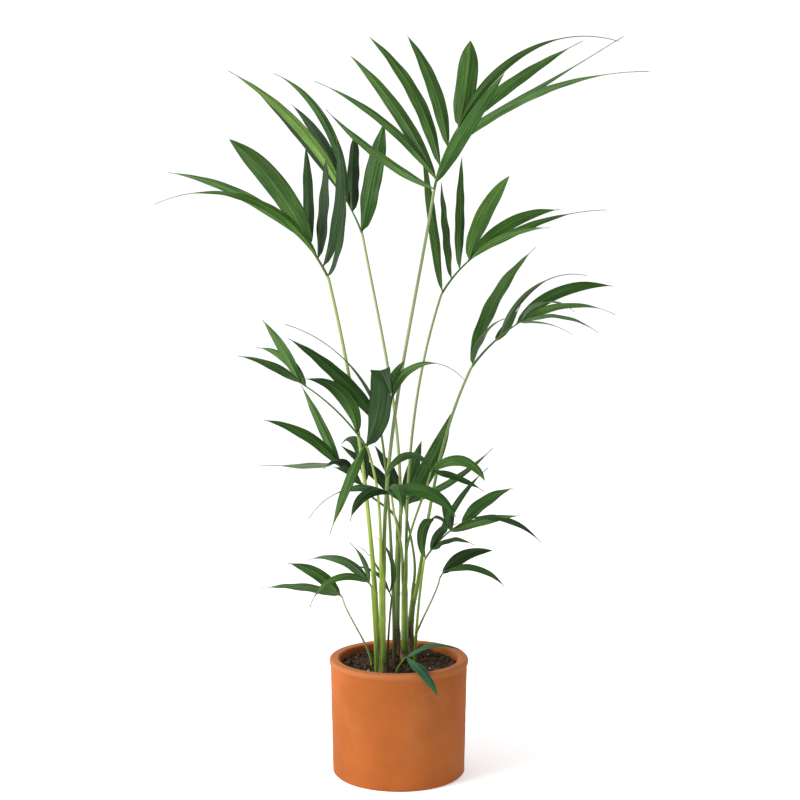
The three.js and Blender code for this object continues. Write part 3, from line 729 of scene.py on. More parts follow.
def leaf_frames(root, row, face, roll, twist, shares, folded):
    """The middle, the way across and the way up of a leaflet's blade at each share, with its crease."""
    _, bearing, rise, droop, length, *_ = row
    crease_way = heading(bearing, rise - droop * CREASE_START)
    crease = turned_about(unit(np.cross(face, crease_way)), unit(face), radians(CREASE_TILT))

    def turned(vector, share):
        if not folded:
            return vector
        angle = radians(CREASE_TURN) * smooth(CREASE_START, CREASE_END, share)
        return turned_about(vector, crease, angle)

    def direction_at(share):
        return turned(heading(bearing, rise - droop * share), share)

    frames = []
    carried = np.cross(face, heading(bearing, rise))
    for share, point in zip(shares, walk(root, length, direction_at, shares)):
        direction = heading(bearing, rise - droop * share)
        carried = level_way(face, direction, carried)
        across = turned_about(carried, direction, roll + twist * share**TWIST_GROWTH)
        up = np.cross(direction, across)
        frames.append((point, turned(across, share), turned(up, share)))
    return frames


def leaflet_shares(folded):
    shares = even_shares(LEAF_RINGS)
    if folded:
        shares += [
            CREASE_START + (CREASE_END - CREASE_START) * share for share in even_shares(CREASE_RINGS)]
    return sorted(set(shares))


def leaflet_rings(frames, shares, length, width, fullness, green, seed, folded):
    """The rings of one folded, pleated leaflet, and the UV place of each point."""
    own = random.Random(seed)
    sway = own.uniform(-SWAY, SWAY) * length
    wave_length = own.uniform(*WAVE_LENGTHS)
    wave_shift = own.uniform(0, tau)
    wave_height = own.uniform(*WAVE_HEIGHTS) * min(1.0, width / WAVING_WIDTH)
    root_fold = radians(own.uniform(*ROOT_FOLDS))
    blade_fold = radians(own.uniform(*BLADE_FOLDS))
    columns = np.linspace(-1, 1, LEAF_COLUMNS + 1)
    under_columns = columns[-2:0:-1]
    rings, uvs = [], []
    for share, (point, across, up) in zip(shares, frames):
        living = min(1.0, share / green)
        thread = THREAD_WIDTH / 2 * (1 - (1 - THREAD_TIP_SHARE) * share) if green < 1 else 0.0
        pinch = ROOT_PINCH + (1 - ROOT_PINCH) * smooth(0.0, PINCH_END, share)
        half = max(breadth(living, fullness) * pinch * width / 2, thread, LEAST_HALF_WIDTH)
        angle = blade_fold + (root_fold - blade_fold) * (1 - smooth(0.0, ROOT_FOLD_END, share))
        angle += radians(TIP_FOLD) * smooth(*TIP_FOLD_START, living)
        if folded:
            angle *= 1 - CREASE_FLATNESS * hump(share - CREASE_START, CREASE_SPREAD)
        pleat = PLEAT_HEIGHT * smooth(*PLEAT_START, share) * (1 - smooth(*PLEAT_END, living))
        pleat *= min(1.0, half / PLEATED_HALF_WIDTH)
        waving = wave_height * smooth(*WAVE_START, share) * min(1.0, half / WAVING_HALF_WIDTH)
        phase = share * length / wave_length * tau + wave_shift
        thick = LEAF_THICKNESS / 2 * (1 - LEAF_THINNING * share)
        midrib = MIDRIB_HEIGHT * thick * (1 - share)
        middle = point + across * sway * sin(pi * share)
        ring = []
        for layer, row_columns in ((1, columns), (-1, under_columns)):
            for column in row_columns:
                wide = abs(column)
                height = -wide * half * tan(angle) * (1 - FOLD_EASING * wide)
                height += pleat * cos(wide * pi * PLEATS * 2)
                lag = WAVE_LAG if column > 0 else 0
                height += waving * wide**WAVE_GROWTH * sin(phase + lag)
                height += layer * thick * (1 - EDGE_THINNING * wide**2)
                if wide < MIDRIB_WIDTH:
                    height += layer * midrib
                reach = column * half * cos(angle * FOLD_NARROWING)
                ring.append(middle + across * reach + up * height)
        rings.append(ring)
        along = share * length / VEIN_UNIT + seed
        uvs += [(column * half / VEIN_UNIT + 0.5, along) for column in (*columns, *under_columns)]
    return rings, uvs


def leaflet_mesh(root, row, face, roll, green, seed, folded, slots):
    """Points, faces, material slots and UV places of one closed leaflet."""
    tone_slot, under_slot, dry_slot, thread_slot = slots
    place, bearing, rise, droop, length, width, *fullness = row
    fullness = fullness[0] if fullness else TIP_FULLNESS
    if folded:
        length *= FOLDED_LENGTH
        droop *= FOLDED_LENGTH
        fullness = FOLDED_FULLNESS
    own = random.Random(seed)
    twist = radians(own.uniform(-TWIST, TWIST))
    burnt = own.uniform(*BURNT_TIPS)
    shares = leaflet_shares(folded)
    frames = leaf_frames(root, (place, bearing, rise, droop, length), face, roll, twist, shares, folded)
    tip, _, _ = frames.pop()
    rings, uvs = leaflet_rings(frames, shares, length, width, fullness, green, seed, folded)
    corners = len(rings[0])
    points = [point for ring in rings for point in ring] + [tip]
    uvs.append((0.5, length / VEIN_UNIT + seed))
    faces = ring_faces(len(rings), corners)
    thread_from = green * THREAD_START if green < 1 else 1.0
    dry_from = THREAD_END if green < 1 else burnt
    face_slots = []
    for share in shares[:len(rings) - 1]:
        for corner in range(corners):
            own_slot = tone_slot if folded or corner < LEAF_COLUMNS else under_slot
            if share > thread_from:
                own_slot = thread_slot
            if share > dry_from:
                own_slot = dry_slot
            face_slots.append(own_slot)
    faces.append(tuple(reversed(range(corners))))
    face_slots.append(tone_slot)
    last = (len(rings) - 1) * corners
    for corner in range(corners):
        faces.append((last + corner, last + (corner + 1) % corners, len(points) - 1))
        face_slots.append(dry_slot)
    return points, faces, face_slots, uvs


def frond_leaves(frond, order, looks):
    """All the leaflets of one frond as one piece."""
    neck, along = stalk_path(frond)[-1]
    start = neck + along * CLEARANCE
    length, bearing, rise, droop = frond["rib"]
    face = heading(*frond["face"])
    tones = sorted(set(frond["tones"]))
    material_list = [looks["leaf"][tone] for tone in tones]
    material_list += [looks[name] for name in ("under", "under_dark", "dry", "thread")]
    points, faces, slots, uvs = [], [], [], []
    for index, row in enumerate(frond["leaflets"]):
        place = (FIRST_LEAF_PLACE + row[0] * (length - FIRST_LEAF_PLACE)) / length
        root, _ = arc(start, length, bearing, rise, droop, [place])[0]
        roll = radians(LEAF_ROLL) * sin(order * FROND_ROLL_STEP + index * ROLL_STEP)
        folded = (frond["name"], index) == FOLDED_LEAF
        tone = frond["tones"][index]
        # A leaflet of a tone with painted shade takes the underside with painted shade
        under_slot = len(tones) + int(tone in SHADED_TONES)
        leaf_slots = (tones.index(tone), under_slot, len(tones) + 2, len(tones) + 3)
        seed = order * SEEDS_PER_FROND + index
        own_points, own_faces, own_slots, own_uvs = leaflet_mesh(
            root, row, face, roll, frond["green"][index], seed, folded, leaf_slots)
        faces += moved_faces(own_faces, len(points))
        points += own_points
        slots += own_slots
        uvs += own_uvs
    return mesh_object("leaflets_" + frond["name"], points, faces, material_list, slots, uvs)


# Stalks and stems

def run_in_stem(frond):
    """The part of a stalk that is still wrapped in its stem, up to the stem's top."""
    if "stem" not in frond:
        return []
    path = stem_path(stem_named(frond["stem"]))
    top = path[-1][0][2]
    run = []
    for point, direction in path[:-1]:
        share = 1 - (top - point[2]) / SHEATH_DEPTH
        if share >= 0:
            spread = CLASP_CLOSENESS + (1 - CLASP_CLOSENESS) * smooth(0, 1, share)
            run.append((point + seat_offset(frond) * spread, direction))
    return run


def stalk_with_rib(frond, looks):
    """A stalk and the rib that carries it on through the frond, as one limb."""
    path = run_in_stem(frond) + stalk_path(frond)
    neck, along = path[-1]
    rib = arc(neck + along * CLEARANCE, *frond["rib"], even_shares(STALK_RINGS // 2))
    stalk_length = sum(np.linalg.norm(far - near) for (near, _), (far, _) in zip(path, path[1:]))
    foot_radius, neck_radius = frond["radii"]
    knots = [chance.uniform(*KNOT_PLACES) * stalk_length for _ in range(KNOTS)]

    def radius_at(_, length):
        if length > stalk_length:
            return neck_radius + (RIB_TIP_RADIUS - neck_radius) * (length - stalk_length) / frond["rib"][0]
        radius = foot_radius + (neck_radius - foot_radius) * length / stalk_length
        if "foot" in frond:
            radius *= 1 + STALK_SWELLING * exp(-length / STALK_SWELLING_HEIGHT)
        else:
            radius *= 1 + CLASP_SWELLING * (1 - smooth(*CLASP_END, length / SHEATH_DEPTH))
        return radius + sum(KNOT_HEIGHT * hump(length - knot, KNOT_WIDTH) for knot in knots)

    points, faces, uvs = tube(
        path + rib[1:], radius_at, STALK_SIDES, heading(*frond["face"]), groove=STALK_GROOVE)
    skins = [looks["skin"][frond["skin"]], looks["skin"]["rib"]]
    face_slots = [int(index // STALK_SIDES >= len(path)) for index in range(len(faces))]
    return mesh_object("stalk_and_rib_" + frond["name"], points, faces, skins, face_slots, uvs)


def stem_radius(stem, share, above_soil):
    """A stem tapers towards its top and swells at its foot."""
    foot_radius, top_radius = stem["radii"]
    swelling = 1 + STEM_SWELLING * exp(-above_soil / STEM_SWELLING_HEIGHT)
    return (foot_radius + (top_radius - foot_radius) * share) * swelling


def stem_piece(stem, looks):
    """A stem of wrapped leaf bases: faint rings where the old bases end, and a narrowing mouth."""
    length = stem["top"][2] - SOIL_LEVEL

    def radius_at(share, reached):
        radius = stem_radius(stem, share, reached)
        for scar in SCAR_SHARES:
            radius += SCAR_HEIGHT * hump(reached - scar * length, SCAR_WIDTH)
        closing = smooth(1 - CLOSING_SHARE * SHEATH_DEPTH / length, 1.0, share) ** CLOSING_GROWTH
        return radius * (1 - SHEATH_CLOSING * closing)

    points, faces, uvs = tube(stem_path(stem), radius_at, STALK_SIDES)
    return mesh_object("sheath_" + stem["name"], points, faces, [looks["skin"][stem["skin"]]], uvs=uvs)


def strips(own):
    """How high and how far out each column of a torn husk reaches, strip by strip."""
    heights, lifts = [], []
    while len(heights) <= HUSK_COLUMNS:
        count = own.randint(*STRIP_COLUMNS)
        height, lift = own.uniform(*STRIP_HEIGHTS), own.uniform(*STRIP_LIFTS)
        for step in range(count):
            from_middle = abs(2 * (step + 0.5) / count - 1)
            heights.append(height * (1 - STRIP_POINT * from_middle**STRIP_POINT_GROWTH))
            lifts.append(lift)
    return heights[:HUSK_COLUMNS + 1], lifts[:HUSK_COLUMNS + 1]


def husk(name, stem_name, low, high, bearing, spread, looks, seed):
    """A dry leaf base that clings to one side of a stem and is torn into strips at its top."""
    stem = stem_named(stem_name)
    path = stem_path(stem)
    heights, lifts = strips(random.Random(seed))
    columns = range(HUSK_COLUMNS + 1)
    corners = [(column, 1) for column in columns] + [(column, 0) for column in reversed(columns)]
    points, uvs = [], []
    for up in even_shares(HUSK_RINGS):
        for column, layer in corners:
            height = low + (high - low) * up * heights[column]
            share = min(1.0, max(0.0, (height - SOIL_LEVEL) / (stem["top"][2] - SOIL_LEVEL)))
            middle, _ = path[round(share * STEM_RINGS)]
            reach = stem_radius(stem, share, height - SOIL_LEVEL)
            reach += HUSK_GAP + HUSK_THICKNESS * layer + lifts[column] * up**STRIP_CURL_GROWTH
            x, y = on_circle(reach, radians(bearing + (column / HUSK_COLUMNS - 0.5) * spread))
            points.append((middle[0] + x, middle[1] + y, height))
            uvs.append((column / HUSK_COLUMNS, height * MM * HUSK_UV_SCALE))
    faces = ring_faces(HUSK_RINGS + 1, len(corners))
    last = HUSK_RINGS * len(corners)
    for outer in range(HUSK_COLUMNS):
        inner = len(corners) - 1 - outer
        faces.append((outer + 1, outer, inner, inner - 1))
        faces.append((last + outer, last + outer + 1, last + inner - 1, last + inner))
    return mesh_object(name, points, faces, [looks["husk"]], uvs=uvs)


# The pot and the soil

def quarter_round(radius, height, turn_from):
    """The lip's round over a quarter turn."""
    rounds = [on_circle(LIP_ROUND, radians(turn_from + 90 * share)) for share in even_shares(ROUND_STEPS)]
    return [(radius + outwards, height + upwards) for outwards, upwards in rounds]


def wall(low, high, steps):
    """Evenly spaced points between two ends of an outline, without the first."""
    return [
        (low[0] + (high[0] - low[0]) * share, low[1] + (high[1] - low[1]) * share)
        for share in even_shares(steps)[1:]
    ]


def pot_outline():
    """Radius and height of the pot's turned outline, from the middle of its underside to its floor."""
    shoulder = POT_HEIGHT - LIP_ROUND
    foot_in = (FOOT_RADIUS - FOOT_EDGE, 0)
    foot_out = (FOOT_RADIUS, FOOT_EDGE)
    neck = (WALL_TOP_RADIUS, POT_HEIGHT - LIP_HEIGHT - LIP_BLEND)
    widening = (RIM_RADIUS - WALL_TOP_RADIUS, LIP_BLEND * 2)
    outline = [(0, UNDERSIDE[0][1])]
    outline += [(FOOT_RADIUS - inside, height) for inside, height in UNDERSIDE] + [foot_in]
    outline += wall(foot_in, foot_out, FOOT_STEPS)
    outline += wall(foot_out, neck, WALL_STEPS)
    outline += [
        (neck[0] + widening[0] * smooth(0, 1, share), neck[1] + widening[1] * share)
        for share in even_shares(BLEND_STEPS)[1:]
    ]
    outline += quarter_round(RIM_RADIUS - LIP_ROUND, shoulder, 0)
    outline += quarter_round(MOUTH_RADIUS + LIP_ROUND, shoulder, 90)
    outline += wall((MOUTH_RADIUS, shoulder), (FLOOR_RADIUS, FLOOR_THICKNESS), MOUTH_STEPS)
    return outline + [(0, FLOOR_THICKNESS)]


def unevenness(turn, height, depth, around, upwards, lines=False):
    """Noise round the pot and up its wall. The throwing lines read it with the height first."""
    x, y = on_circle(around, turn)
    place = (height * upwards, x, y) if lines else (x, y, height * upwards)
    return depth * noise.noise(Vector(place))


def wall_unevenness(radius, height, turn):
    """How far the outside of the wall and the lip leave a true round."""
    shoulder = POT_HEIGHT - LIP_ROUND
    if FOOT_EDGE < height < shoulder and radius > MOUTH_RADIUS + UNEVEN_MARGIN:
        lines = sum(unevenness(turn, height, *line, lines=True) for line in THROWING_LINES)
        depth, below_rim, width = GROOVE
        groove = depth * hump(height - (POT_HEIGHT - below_rim), width)
        return unevenness(turn, height, *BULGE) + lines - groove
    if height > shoulder - UNEVEN_MARGIN:
        return unevenness(turn, height, *LIP_WAVER)
    return 0.0


def pot_piece(looks):
    """The pot as a turned outline with faint throwing lines and a softly uneven wall."""
    outline = pot_outline()
    inner = outline[1:-1]
    points, uvs = [], []
    for radius, height in inner:
        for corner in range(POT_SIDES):
            turn = corner / POT_SIDES * tau
            moved = radius + wall_unevenness(radius, height, turn)
            points.append((*on_circle(moved, turn), height))
            uvs.append((corner / POT_SIDES, height / POT_HEIGHT))
    faces = ring_faces(len(inner), POT_SIDES)
    bottom, top = len(points), len(points) + 1
    points += [(0, 0, outline[0][1]), (0, 0, outline[-1][1])]
    uvs += [(0.5, 0), (0.5, 0)]
    last = (len(inner) - 1) * POT_SIDES
    for corner in range(POT_SIDES):
        beside = (corner + 1) % POT_SIDES
        faces.append((bottom, beside, corner))
        faces.append((top, last + corner, last + beside))
    return mesh_object("pot_turned", points, faces, [looks["terracotta"]], uvs=uvs)


def soil_height(x, y):
    """How high the soil's uneven surface lies."""
    place = Vector((x, y, 0))
    lumps_height = sum(depth * noise.noise(place * fineness) for depth, fineness in SOIL_LUMPS)
    grain_height, grain_fineness = SOIL_GRAINS
    grains = grain_height * abs(noise.noise(place * grain_fineness))
    return SOIL_LEVEL + lumps_height + grains - SOIL_SINKING


def soil_radius(height):
    """How far the soil reaches at a height, just inside the pot's wall."""
    slope = (MOUTH_RADIUS - FLOOR_RADIUS) / (POT_HEIGHT - LIP_ROUND - FLOOR_THICKNESS)
    return FLOOR_RADIUS + slope * (height - FLOOR_THICKNESS) - CLEARANCE


def soil_piece(looks):
    """The lumpy top of the soil, closed by a plain side and bottom inside the pot."""
    edge = soil_radius(SOIL_LEVEL)
    turns = [spoke / SOIL_SPOKES * tau for spoke in range(SOIL_SPOKES)]
    points, uvs = [(0, 0, soil_height(0, 0))], [(0, 0)]
    for share in even_shares(SOIL_RINGS)[1:]:
        for turn in turns:
            x, y = on_circle(edge * share, turn)
            dip = SOIL_EDGE_DIP * smooth(edge - SOIL_EDGE_WIDTH, edge, edge * share)
            points.append((x, y, soil_height(x, y) - dip))
            uvs.append((x * MM, y * MM))
    below = SOIL_LEVEL - SKIRT_DEPTH
    skirt = ((below, soil_radius(below)), (FLOOR_THICKNESS + SKIRT_GAP, FLOOR_RADIUS - SKIRT_GAP))
    for height, radius in skirt:
        points += [(*on_circle(radius, turn), height) for turn in turns]
        uvs += [on_circle(1, turn) for turn in turns]
    faces = [(0, 1 + spoke, 1 + (spoke + 1) % SOIL_SPOKES) for spoke in range(SOIL_SPOKES)]
    for here, beside, beyond, outside in moved_faces(ring_faces(SOIL_RINGS + 2, SOIL_SPOKES), 1):
        faces.append((here, outside, beyond, beside))
    faces.append(tuple(reversed(range(1 + (SOIL_RINGS + 1) * SOIL_SPOKES, len(points)))))
    return mesh_object("soil_bed", points, faces, [looks["soil"]], uvs=uvs)


def ball():
    """The points and faces of a small round body."""
    shape = bmesh.new()
    bmesh.ops.create_icosphere(shape, subdivisions=2, radius=1.0)
    shape.verts.ensure_lookup_table()
    points = [vertex.co.copy() for vertex in shape.verts]
    faces = [tuple(vertex.index for vertex in face.verts) for face in shape.faces]
    shape.free()
    return points, faces


def random_vector(own, *ranges):
    return Vector([own.uniform(*ends) for ends in ranges])


def lumps(name, material, *, count, sizes, flatness, roughness, by_wall, seed):
    """Many small uneven lumps lying on the soil, as one piece."""
    own = random.Random(seed)
    shape_points, shape_faces = ball()
    points, faces = [], []
    for _ in range(count):
        size = sizes[0] + (sizes[1] - sizes[0]) * own.random() ** LUMP_SMALLNESS
        furthest = soil_radius(SOIL_LEVEL) - size * LUMP_ROOM
        radius = furthest * sqrt(own.random())
        if own.random() < by_wall:
            radius = furthest * (1 - LUMP_BAND * own.random())
        x, y = on_circle(radius, own.uniform(0, tau))
        centre = Vector((x, y, soil_height(x, y) + size * LUMP_RISE))
        spin = random_vector(own, *[(-1, 1)] * 3).normalized()
        stretch = random_vector(own, *LUMP_STRETCHES)
        stretch.z *= flatness
        shift = random_vector(own, *[(0, NOISE_SPREAD)] * 3)
        faces += moved_faces(shape_faces, len(points))
        for vertex in shape_points:
            uneven = size * (1 + roughness * noise.noise(vertex * LUMP_FINENESS + shift))
            moved = vertex * stretch * uneven
            points.append(tuple(centre + moved + spin.cross(moved) * LUMP_SHEAR))
    return mesh_object(name, points, faces, [material])


def fibres(name, material, *, count, seed):
    """Short bits of root and bark lying on the soil."""
    own = random.Random(seed)
    points, faces = [], []
    furthest = soil_radius(SOIL_LEVEL) - FIBRE_ROOM
    for _ in range(count):
        x, y = on_circle(furthest * sqrt(own.random()), own.uniform(0, tau))
        bearing = own.uniform(0, 360)
        length = own.uniform(*FIBRE_LENGTHS)
        rise, droop = own.uniform(*FIBRE_RISES), own.uniform(*FIBRE_DROOPS)
        thick = own.uniform(*FIBRE_RADII)
        start = (x, y, soil_height(x, y) + FIBRE_LIFT)
        path = arc(start, length, bearing, rise, droop, even_shares(FIBRE_RINGS))
        own_points, own_faces, _ = tube(
            path, lambda share, _: thick * (1 - FIBRE_TAPER * share), FIBRE_SIDES)
        if max(hypot(point[0], point[1]) for point in own_points) < furthest + FIBRE_OVERHANG:
            faces += moved_faces(own_faces, len(points))
            points += own_points
    return mesh_object(name, points, faces, [material])


# Materials

class Nodes:
    """A short way to write the nodes of a material or the world."""

    def __init__(self, name, kind="materials", shader="Principled BSDF"):
        self.owner = getattr(bpy.data, kind).new(name)
        self.owner.use_nodes = True
        self.tree = self.owner.node_tree
        self.shader = self.tree.nodes[shader]

    def fill(self, socket, value):
        if isinstance(value, bpy.types.NodeSocket):
            self.tree.links.new(value, socket)
        else:
            socket.default_value = value

    def add(self, kind, values, **settings):
        made = self.tree.nodes.new(kind)
        for key, value in settings.items():
            setattr(made, key, value)
        for key, value in values.items():
            self.fill(made.inputs[key], value)
        return made

    def math(self, operation, first, second=0.0):
        return self.add("ShaderNodeMath", {0: first, 1: second}, operation=operation).outputs[0]

    def rest(self, value):
        """What is left of one when the value is taken away."""
        return self.math("SUBTRACT", 1.0, value)

    def weighed(self, *parts):
        """The sum of some values, each times its weight."""
        total = 0.0
        for value, weight in parts:
            total = self.math("ADD", self.math("MULTIPLY", value, weight), total)
        return total

    def mix(self, factor, first, second):
        made = self.add("ShaderNodeMix", {0: factor}, data_type="RGBA")
        for socket, colour in zip(made.inputs[MIX_COLOURS], (first, second)):
            self.fill(socket, colour if isinstance(colour, bpy.types.NodeSocket) else (*colour, 1.0))
        return made.outputs[MIXED_COLOUR]

    def ramp(self, value, low, high):
        made = self.add("ShaderNodeMapRange", {0: value, 1: low, 2: high, 3: 0.0, 4: 1.0})
        made.interpolation_type = "SMOOTHSTEP"
        return made.outputs[0]

    def tint(self, colour, mask, low, high, strength, other):
        """The colour with some of another laid over it where the mask is high."""
        return self.mix(self.math("MULTIPLY", self.ramp(mask, low, high), strength), colour, other)

    def noise(self, place, scale, detail, roughness=0.55):
        return self.add("ShaderNodeTexNoise", {
            "Vector": place, "Scale": scale, "Detail": detail, "Roughness": roughness,
        }).outputs["Fac"]

    def place(self):
        return self.add("ShaderNodeTexCoord", {}).outputs["Object"]

    def surface(self):
        return self.add("ShaderNodeUVMap", {}, uv_map="surface").outputs["UV"]

    def stretched(self, place, sizes):
        return self.add("ShaderNodeVectorMath", {0: place, 1: sizes}, operation="MULTIPLY").outputs[0]

    def bump(self, height, distance, strength):
        made = self.add("ShaderNodeBump", {"Height": height, "Distance": distance, "Strength": strength})
        self.fill(self.shader.inputs["Normal"], made.outputs[0])

    def finish(self, colour, roughness, specular):
        self.fill(self.shader.inputs["Base Color"], colour)
        self.fill(self.shader.inputs["Roughness"], roughness)
        self.fill(self.shader.inputs["Specular IOR Level"], specular)
        return self.owner


def leaf_look(name, dark, light, vein, roughness=LEAF_ROUGHNESS):
    """Green with a paler middle rib, fine veins along the leaflet and soft mottling."""
    nodes = Nodes(name)
    surface = nodes.surface()
    across = nodes.add("ShaderNodeSeparateXYZ", {0: surface}).outputs[0]
    fine = nodes.noise(nodes.stretched(surface, LEAF_STREAKS), scale=1.0, detail=2.0)
    broad = nodes.noise(nodes.place(), scale=19.0, detail=2.0)
    waves = nodes.math("SINE", nodes.math("MULTIPLY", across, VEIN_UNIT / VEIN_SPACING * tau))
    from_middle = nodes.math("ABSOLUTE", nodes.math("SUBTRACT", across, 0.5))
    midrib = nodes.rest(nodes.ramp(from_middle, *(edge / VEIN_UNIT for edge in MIDRIB_BAND)))
    tone = nodes.weighed((fine, 0.75), (broad, 0.45))
    colour = nodes.mix(nodes.ramp(tone, low=0.4, high=0.85), dark, light)
    colour = nodes.tint(colour, waves, low=0.1, high=1.0, strength=0.08, other=vein)
    colour = nodes.tint(colour, midrib, low=0.0, high=1.0, strength=0.35, other=vein)
    nodes.bump(nodes.weighed((waves, 0.5), (fine, 1.0)), distance=0.0003, strength=0.35)
    return nodes.finish(colour, nodes.weighed((broad, 0.12), (1.0, roughness)), LEAF_SPECULAR)


def streaked_look(name, dark, light, spot, ends=(), *, roughness, spots_from, lines):
    """A smooth limb with long streaks and a few small marks, and other colours at its two ends."""
    nodes = Nodes(name)
    along_limb = nodes.stretched(nodes.surface(), (lines, STREAKS_ALONG, 1.0))
    streaks = nodes.noise(along_limb, scale=1.0, detail=4.0)
    patches = nodes.noise(nodes.place(), scale=16.0, detail=3.0)
    marks = nodes.noise(nodes.place(), scale=95.0, detail=2.0)
    tone = nodes.weighed((streaks, 0.6), (patches, 0.5))
    colour = nodes.mix(nodes.ramp(tone, low=0.38, high=0.72), dark, light)
    if ends:
        at_soil, high_up = ends
        height = nodes.add("ShaderNodeSeparateXYZ", {0: nodes.place()}).outputs[2]
        low_down = nodes.rest(nodes.ramp(height, *SOIL_TURN))
        colour = nodes.tint(colour, low_down, low=0.0, high=1.0, strength=0.75, other=at_soil)
        colour = nodes.tint(colour, height, *HIGH_TURN, strength=0.6, other=high_up)
    colour = nodes.tint(colour, marks, spots_from, spots_from + MARK_SOFTNESS, strength=1.0, other=spot)
    nodes.bump(streaks, distance=0.0002, strength=0.6)
    return nodes.finish(colour, roughness, SPECULAR)


def terracotta_look():
    """Unglazed clay: warm orange with mottling, pale bloom, fine grit and faint turning lines."""
    nodes = Nodes("terracotta_clay")
    place = nodes.place()
    broad = nodes.noise(place, scale=9.0, detail=4.0)
    cloud = nodes.noise(nodes.stretched(place, CLOUD_STRETCH), scale=14.0, detail=5.0, roughness=0.5)
    turning = nodes.noise(nodes.stretched(place, LINE_STRETCH), scale=1.0, detail=3.0)
    grit = nodes.noise(place, scale=900.0, detail=2.0)
    pits = nodes.add("ShaderNodeTexVoronoi", {"Vector": place, "Scale": 230.0}).outputs["Distance"]
    colour = nodes.mix(nodes.ramp(broad, low=0.3, high=0.7), CLAY_DARK, CLAY_LIGHT)
    colour = nodes.tint(colour, cloud, low=0.48, high=0.78, strength=0.42, other=CLAY_CLOUD)
    colour = nodes.tint(colour, turning, low=0.5, high=0.75, strength=0.18, other=CLAY_LINE)
    colour = nodes.tint(colour, grit, low=0.58, high=0.75, strength=0.3, other=CLAY_GRIT)
    height = nodes.add("ShaderNodeSeparateXYZ", {0: place}).outputs[2]
    colour = nodes.tint(colour, height, *LIP_BLOOM, strength=0.34, other=CLAY_BLOOM)
    from_chip = nodes.add("ShaderNodeVectorMath", {0: place, 1: CHIP_PLACE}, operation="DISTANCE")
    chip = nodes.rest(nodes.ramp(from_chip.outputs["Value"], *CHIP_SIZES))
    colour = nodes.tint(colour, chip, low=0.0, high=1.0, strength=0.8, other=CLAY_CHIP)
    hollow = nodes.rest(nodes.ramp(pits, low=0.03, high=0.12))
    nodes.bump(nodes.weighed((grit, 0.35), (turning, 0.6), (hollow, -0.6)), distance=0.0004, strength=0.6)
    return nodes.finish(colour, CLAY_ROUGHNESS, SPECULAR)


def soil_look(name, dark, light, *, grain):
    nodes = Nodes(name)
    place = nodes.place()
    fine = nodes.noise(place, scale=grain, detail=4.0, roughness=0.7)
    colour = nodes.mix(nodes.ramp(fine, low=0.35, high=0.7), dark, light)
    broad = nodes.noise(place, scale=60.0, detail=5.0)
    colour = nodes.tint(colour, broad, low=0.5, high=0.7, strength=0.5, other=dark)
    nodes.bump(fine, distance=0.0012, strength=0.9)
    return nodes.finish(colour, SOIL_ROUGHNESS, SOIL_SPECULAR)


def plain_look(name, colour, *, grain, roughness, glow=0.0, cloud_share=0.93):
    """A pale surface with a faint cloud in it."""
    nodes = Nodes(name)
    nodes.fill(nodes.shader.inputs["Emission Color"], WHITE)
    nodes.fill(nodes.shader.inputs["Emission Strength"], glow)
    cloud = nodes.noise(nodes.place(), scale=grain, detail=3.0)
    low = tuple(part * cloud_share for part in colour)
    return nodes.finish(nodes.mix(cloud, low, colour), roughness, SPECULAR)


def make_looks():
    return {
        "leaf": {tone: leaf_look("leaf_green_" + tone, *green) for tone, green in LEAF_GREENS.items()},
        "under": leaf_look("leaf_underside", *UNDERSIDE_GREEN, UNDERSIDE_ROUGHNESS),
        # the underside with painted shade, for the leaflets in shade
        "under_dark": leaf_look("leaf_underside_shaded", *SHADED_UNDERSIDE_GREEN, UNDERSIDE_ROUGHNESS),
        "dry": streaked_look("leaf_dried", *DRY_COLOURS, roughness=0.7, spots_from=0.7, lines=3.0),
        "thread": streaked_look("leaf_thread", *THREAD_COLOURS, roughness=0.7, spots_from=0.7, lines=3.0),
        "skin": {
            name: streaked_look(
                "stalk_" + name, *colours[:3], colours[3:],
                roughness=SKIN_ROUGHNESS, spots_from=0.7, lines=13.0)
            for name, colours in SKINS.items()
        },
        "husk": streaked_look("husk_brown", *HUSK_COLOURS, roughness=0.85, spots_from=0.62, lines=60.0),
        "terracotta": terracotta_look(),
        "soil": soil_look("soil_dark", *SOIL_COLOURS, grain=420.0),
        "crumb": soil_look("soil_crumb", *CRUMB_COLOURS, grain=700.0),
        "perlite": plain_look("perlite_white", PERLITE_COLOUR, grain=900.0, roughness=0.9),
        "fibre": streaked_look("fibre_brown", *FIBRE_COLOURS, roughness=0.9, spots_from=0.8, lines=34.0),
    }


# The stage

def make_floor():
    corners = [(x * FLOOR_REACH, y * FLOOR_REACH, 0) for x, y in ((-1, -1), (1, -1), (1, 1), (-1, 1))]
    look = plain_look("floor_pale", FLOOR_COLOUR, grain=3.0, roughness=0.85, glow=FLOOR_GLOW)
    mesh_object("floor", corners, [(0, 1, 2, 3)], [look])


def make_world():
    """A white backdrop on every side, with its light strongest behind the plant and on its left."""
    nodes = Nodes("studio", "worlds", "Background")
    place = nodes.add("ShaderNodeTexCoord", {}).outputs["Generated"]
    lean = nodes.add("ShaderNodeVectorMath", {0: place, 1: BRIGHT_SIDE}, operation="DOT_PRODUCT")
    spread = (lean.outputs["Value"], *LEAN_RANGE, *SIDE_STRENGTHS)
    level = nodes.add("ShaderNodeMapRange", dict(enumerate(spread))).outputs[0]
    seen = nodes.add("ShaderNodeLightPath", {}).outputs["Is Camera Ray"]
    strength = nodes.add("ShaderNodeMix", {0: seen, 2: level, 3: BACKDROP_STRENGTH}).outputs[0]
    nodes.fill(nodes.shader.inputs["Strength"], strength)
    nodes.fill(nodes.shader.inputs["Color"], WHITE)
    bpy.context.scene.world = nodes.owner


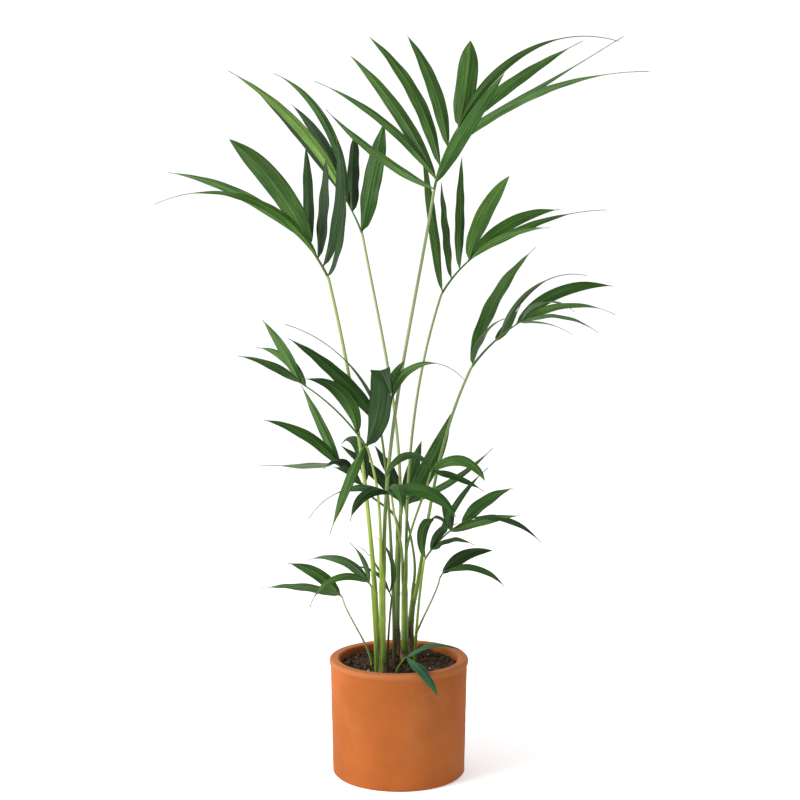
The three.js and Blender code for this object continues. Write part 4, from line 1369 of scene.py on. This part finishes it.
def area_light(name, place, aim, size, power, colour):
    light = bpy.data.lights.new(name, "AREA")
    light.shape = "DISK"
    light.size = size
    light.energy = power
    light.color = colour
    lamp = bpy.data.objects.new(name, light)
    lamp.location = place
    lamp.rotation_euler = (Vector(aim) - Vector(place)).to_track_quat("-Z", "Y").to_euler()
    bpy.context.scene.collection.objects.link(lamp)


def make_camera():
    camera = bpy.data.objects.new("camera", bpy.data.cameras.new("camera"))
    camera.data.sensor_width = SENSOR_WIDTH
    camera.data.lens = SENSOR_WIDTH * FOCAL_PIXELS / PICTURE_WIDTH
    camera.data.clip_start, camera.data.clip_end = CLIP_RANGE
    camera.location = CAMERA_PLACE
    camera.rotation_euler = (radians(90 - CAMERA_PITCH), 0, 0)
    bpy.context.scene.collection.objects.link(camera)
    bpy.context.scene.camera = camera


def dress(piece, slot, *nodes):
    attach(piece, "root")
    if nodes:
        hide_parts(*nodes)


def dress_plant(looks):
    for stem in STEMS:
        dress(stem_piece(stem, looks), "stalk", stem["name"])
    for order, frond in enumerate(FRONDS):
        dress(stalk_with_rib(frond, looks), "stalk", "stalk_" + frond["name"])
        dress(frond_leaves(frond, order, looks), "leaflet", "frond_" + frond["name"])
    for number, row in enumerate(HUSKS, start=1):
        dress(husk(f"husk_{number}", *row, looks, seed=HUSK_SEED + number), "stalk")


def dress_pot(looks):
    dress(pot_piece(looks), "terracotta", "pot")
    dress(soil_piece(looks), "soil", "soil")
    crumbs = lumps(
        "soil_crumbs", looks["crumb"],
        count=900, sizes=(0.7, 4.2), flatness=0.8, roughness=0.9, by_wall=0.25, seed=11)
    perlite = lumps(
        "perlite_bits", looks["perlite"],
        count=46, sizes=(0.6, 1.7), flatness=0.9, roughness=0.7, by_wall=0.15, seed=12)
    for piece in (crumbs, perlite, fibres("soil_fibres", looks["fibre"], count=110, seed=13)):
        dress(piece, "soil")


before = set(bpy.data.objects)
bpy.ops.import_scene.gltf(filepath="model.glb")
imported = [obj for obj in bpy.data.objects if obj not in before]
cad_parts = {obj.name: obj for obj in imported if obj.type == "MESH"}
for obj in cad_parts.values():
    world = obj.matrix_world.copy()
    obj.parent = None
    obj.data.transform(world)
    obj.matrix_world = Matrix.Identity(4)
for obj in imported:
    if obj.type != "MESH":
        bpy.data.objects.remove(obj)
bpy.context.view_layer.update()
bpy.context.scene.view_settings.view_transform = "Standard"

made_looks = make_looks()
dress_pot(made_looks)
dress_plant(made_looks)
make_floor()
make_world()
for lamp in LAMPS:
    area_light(**lamp)
make_camera()
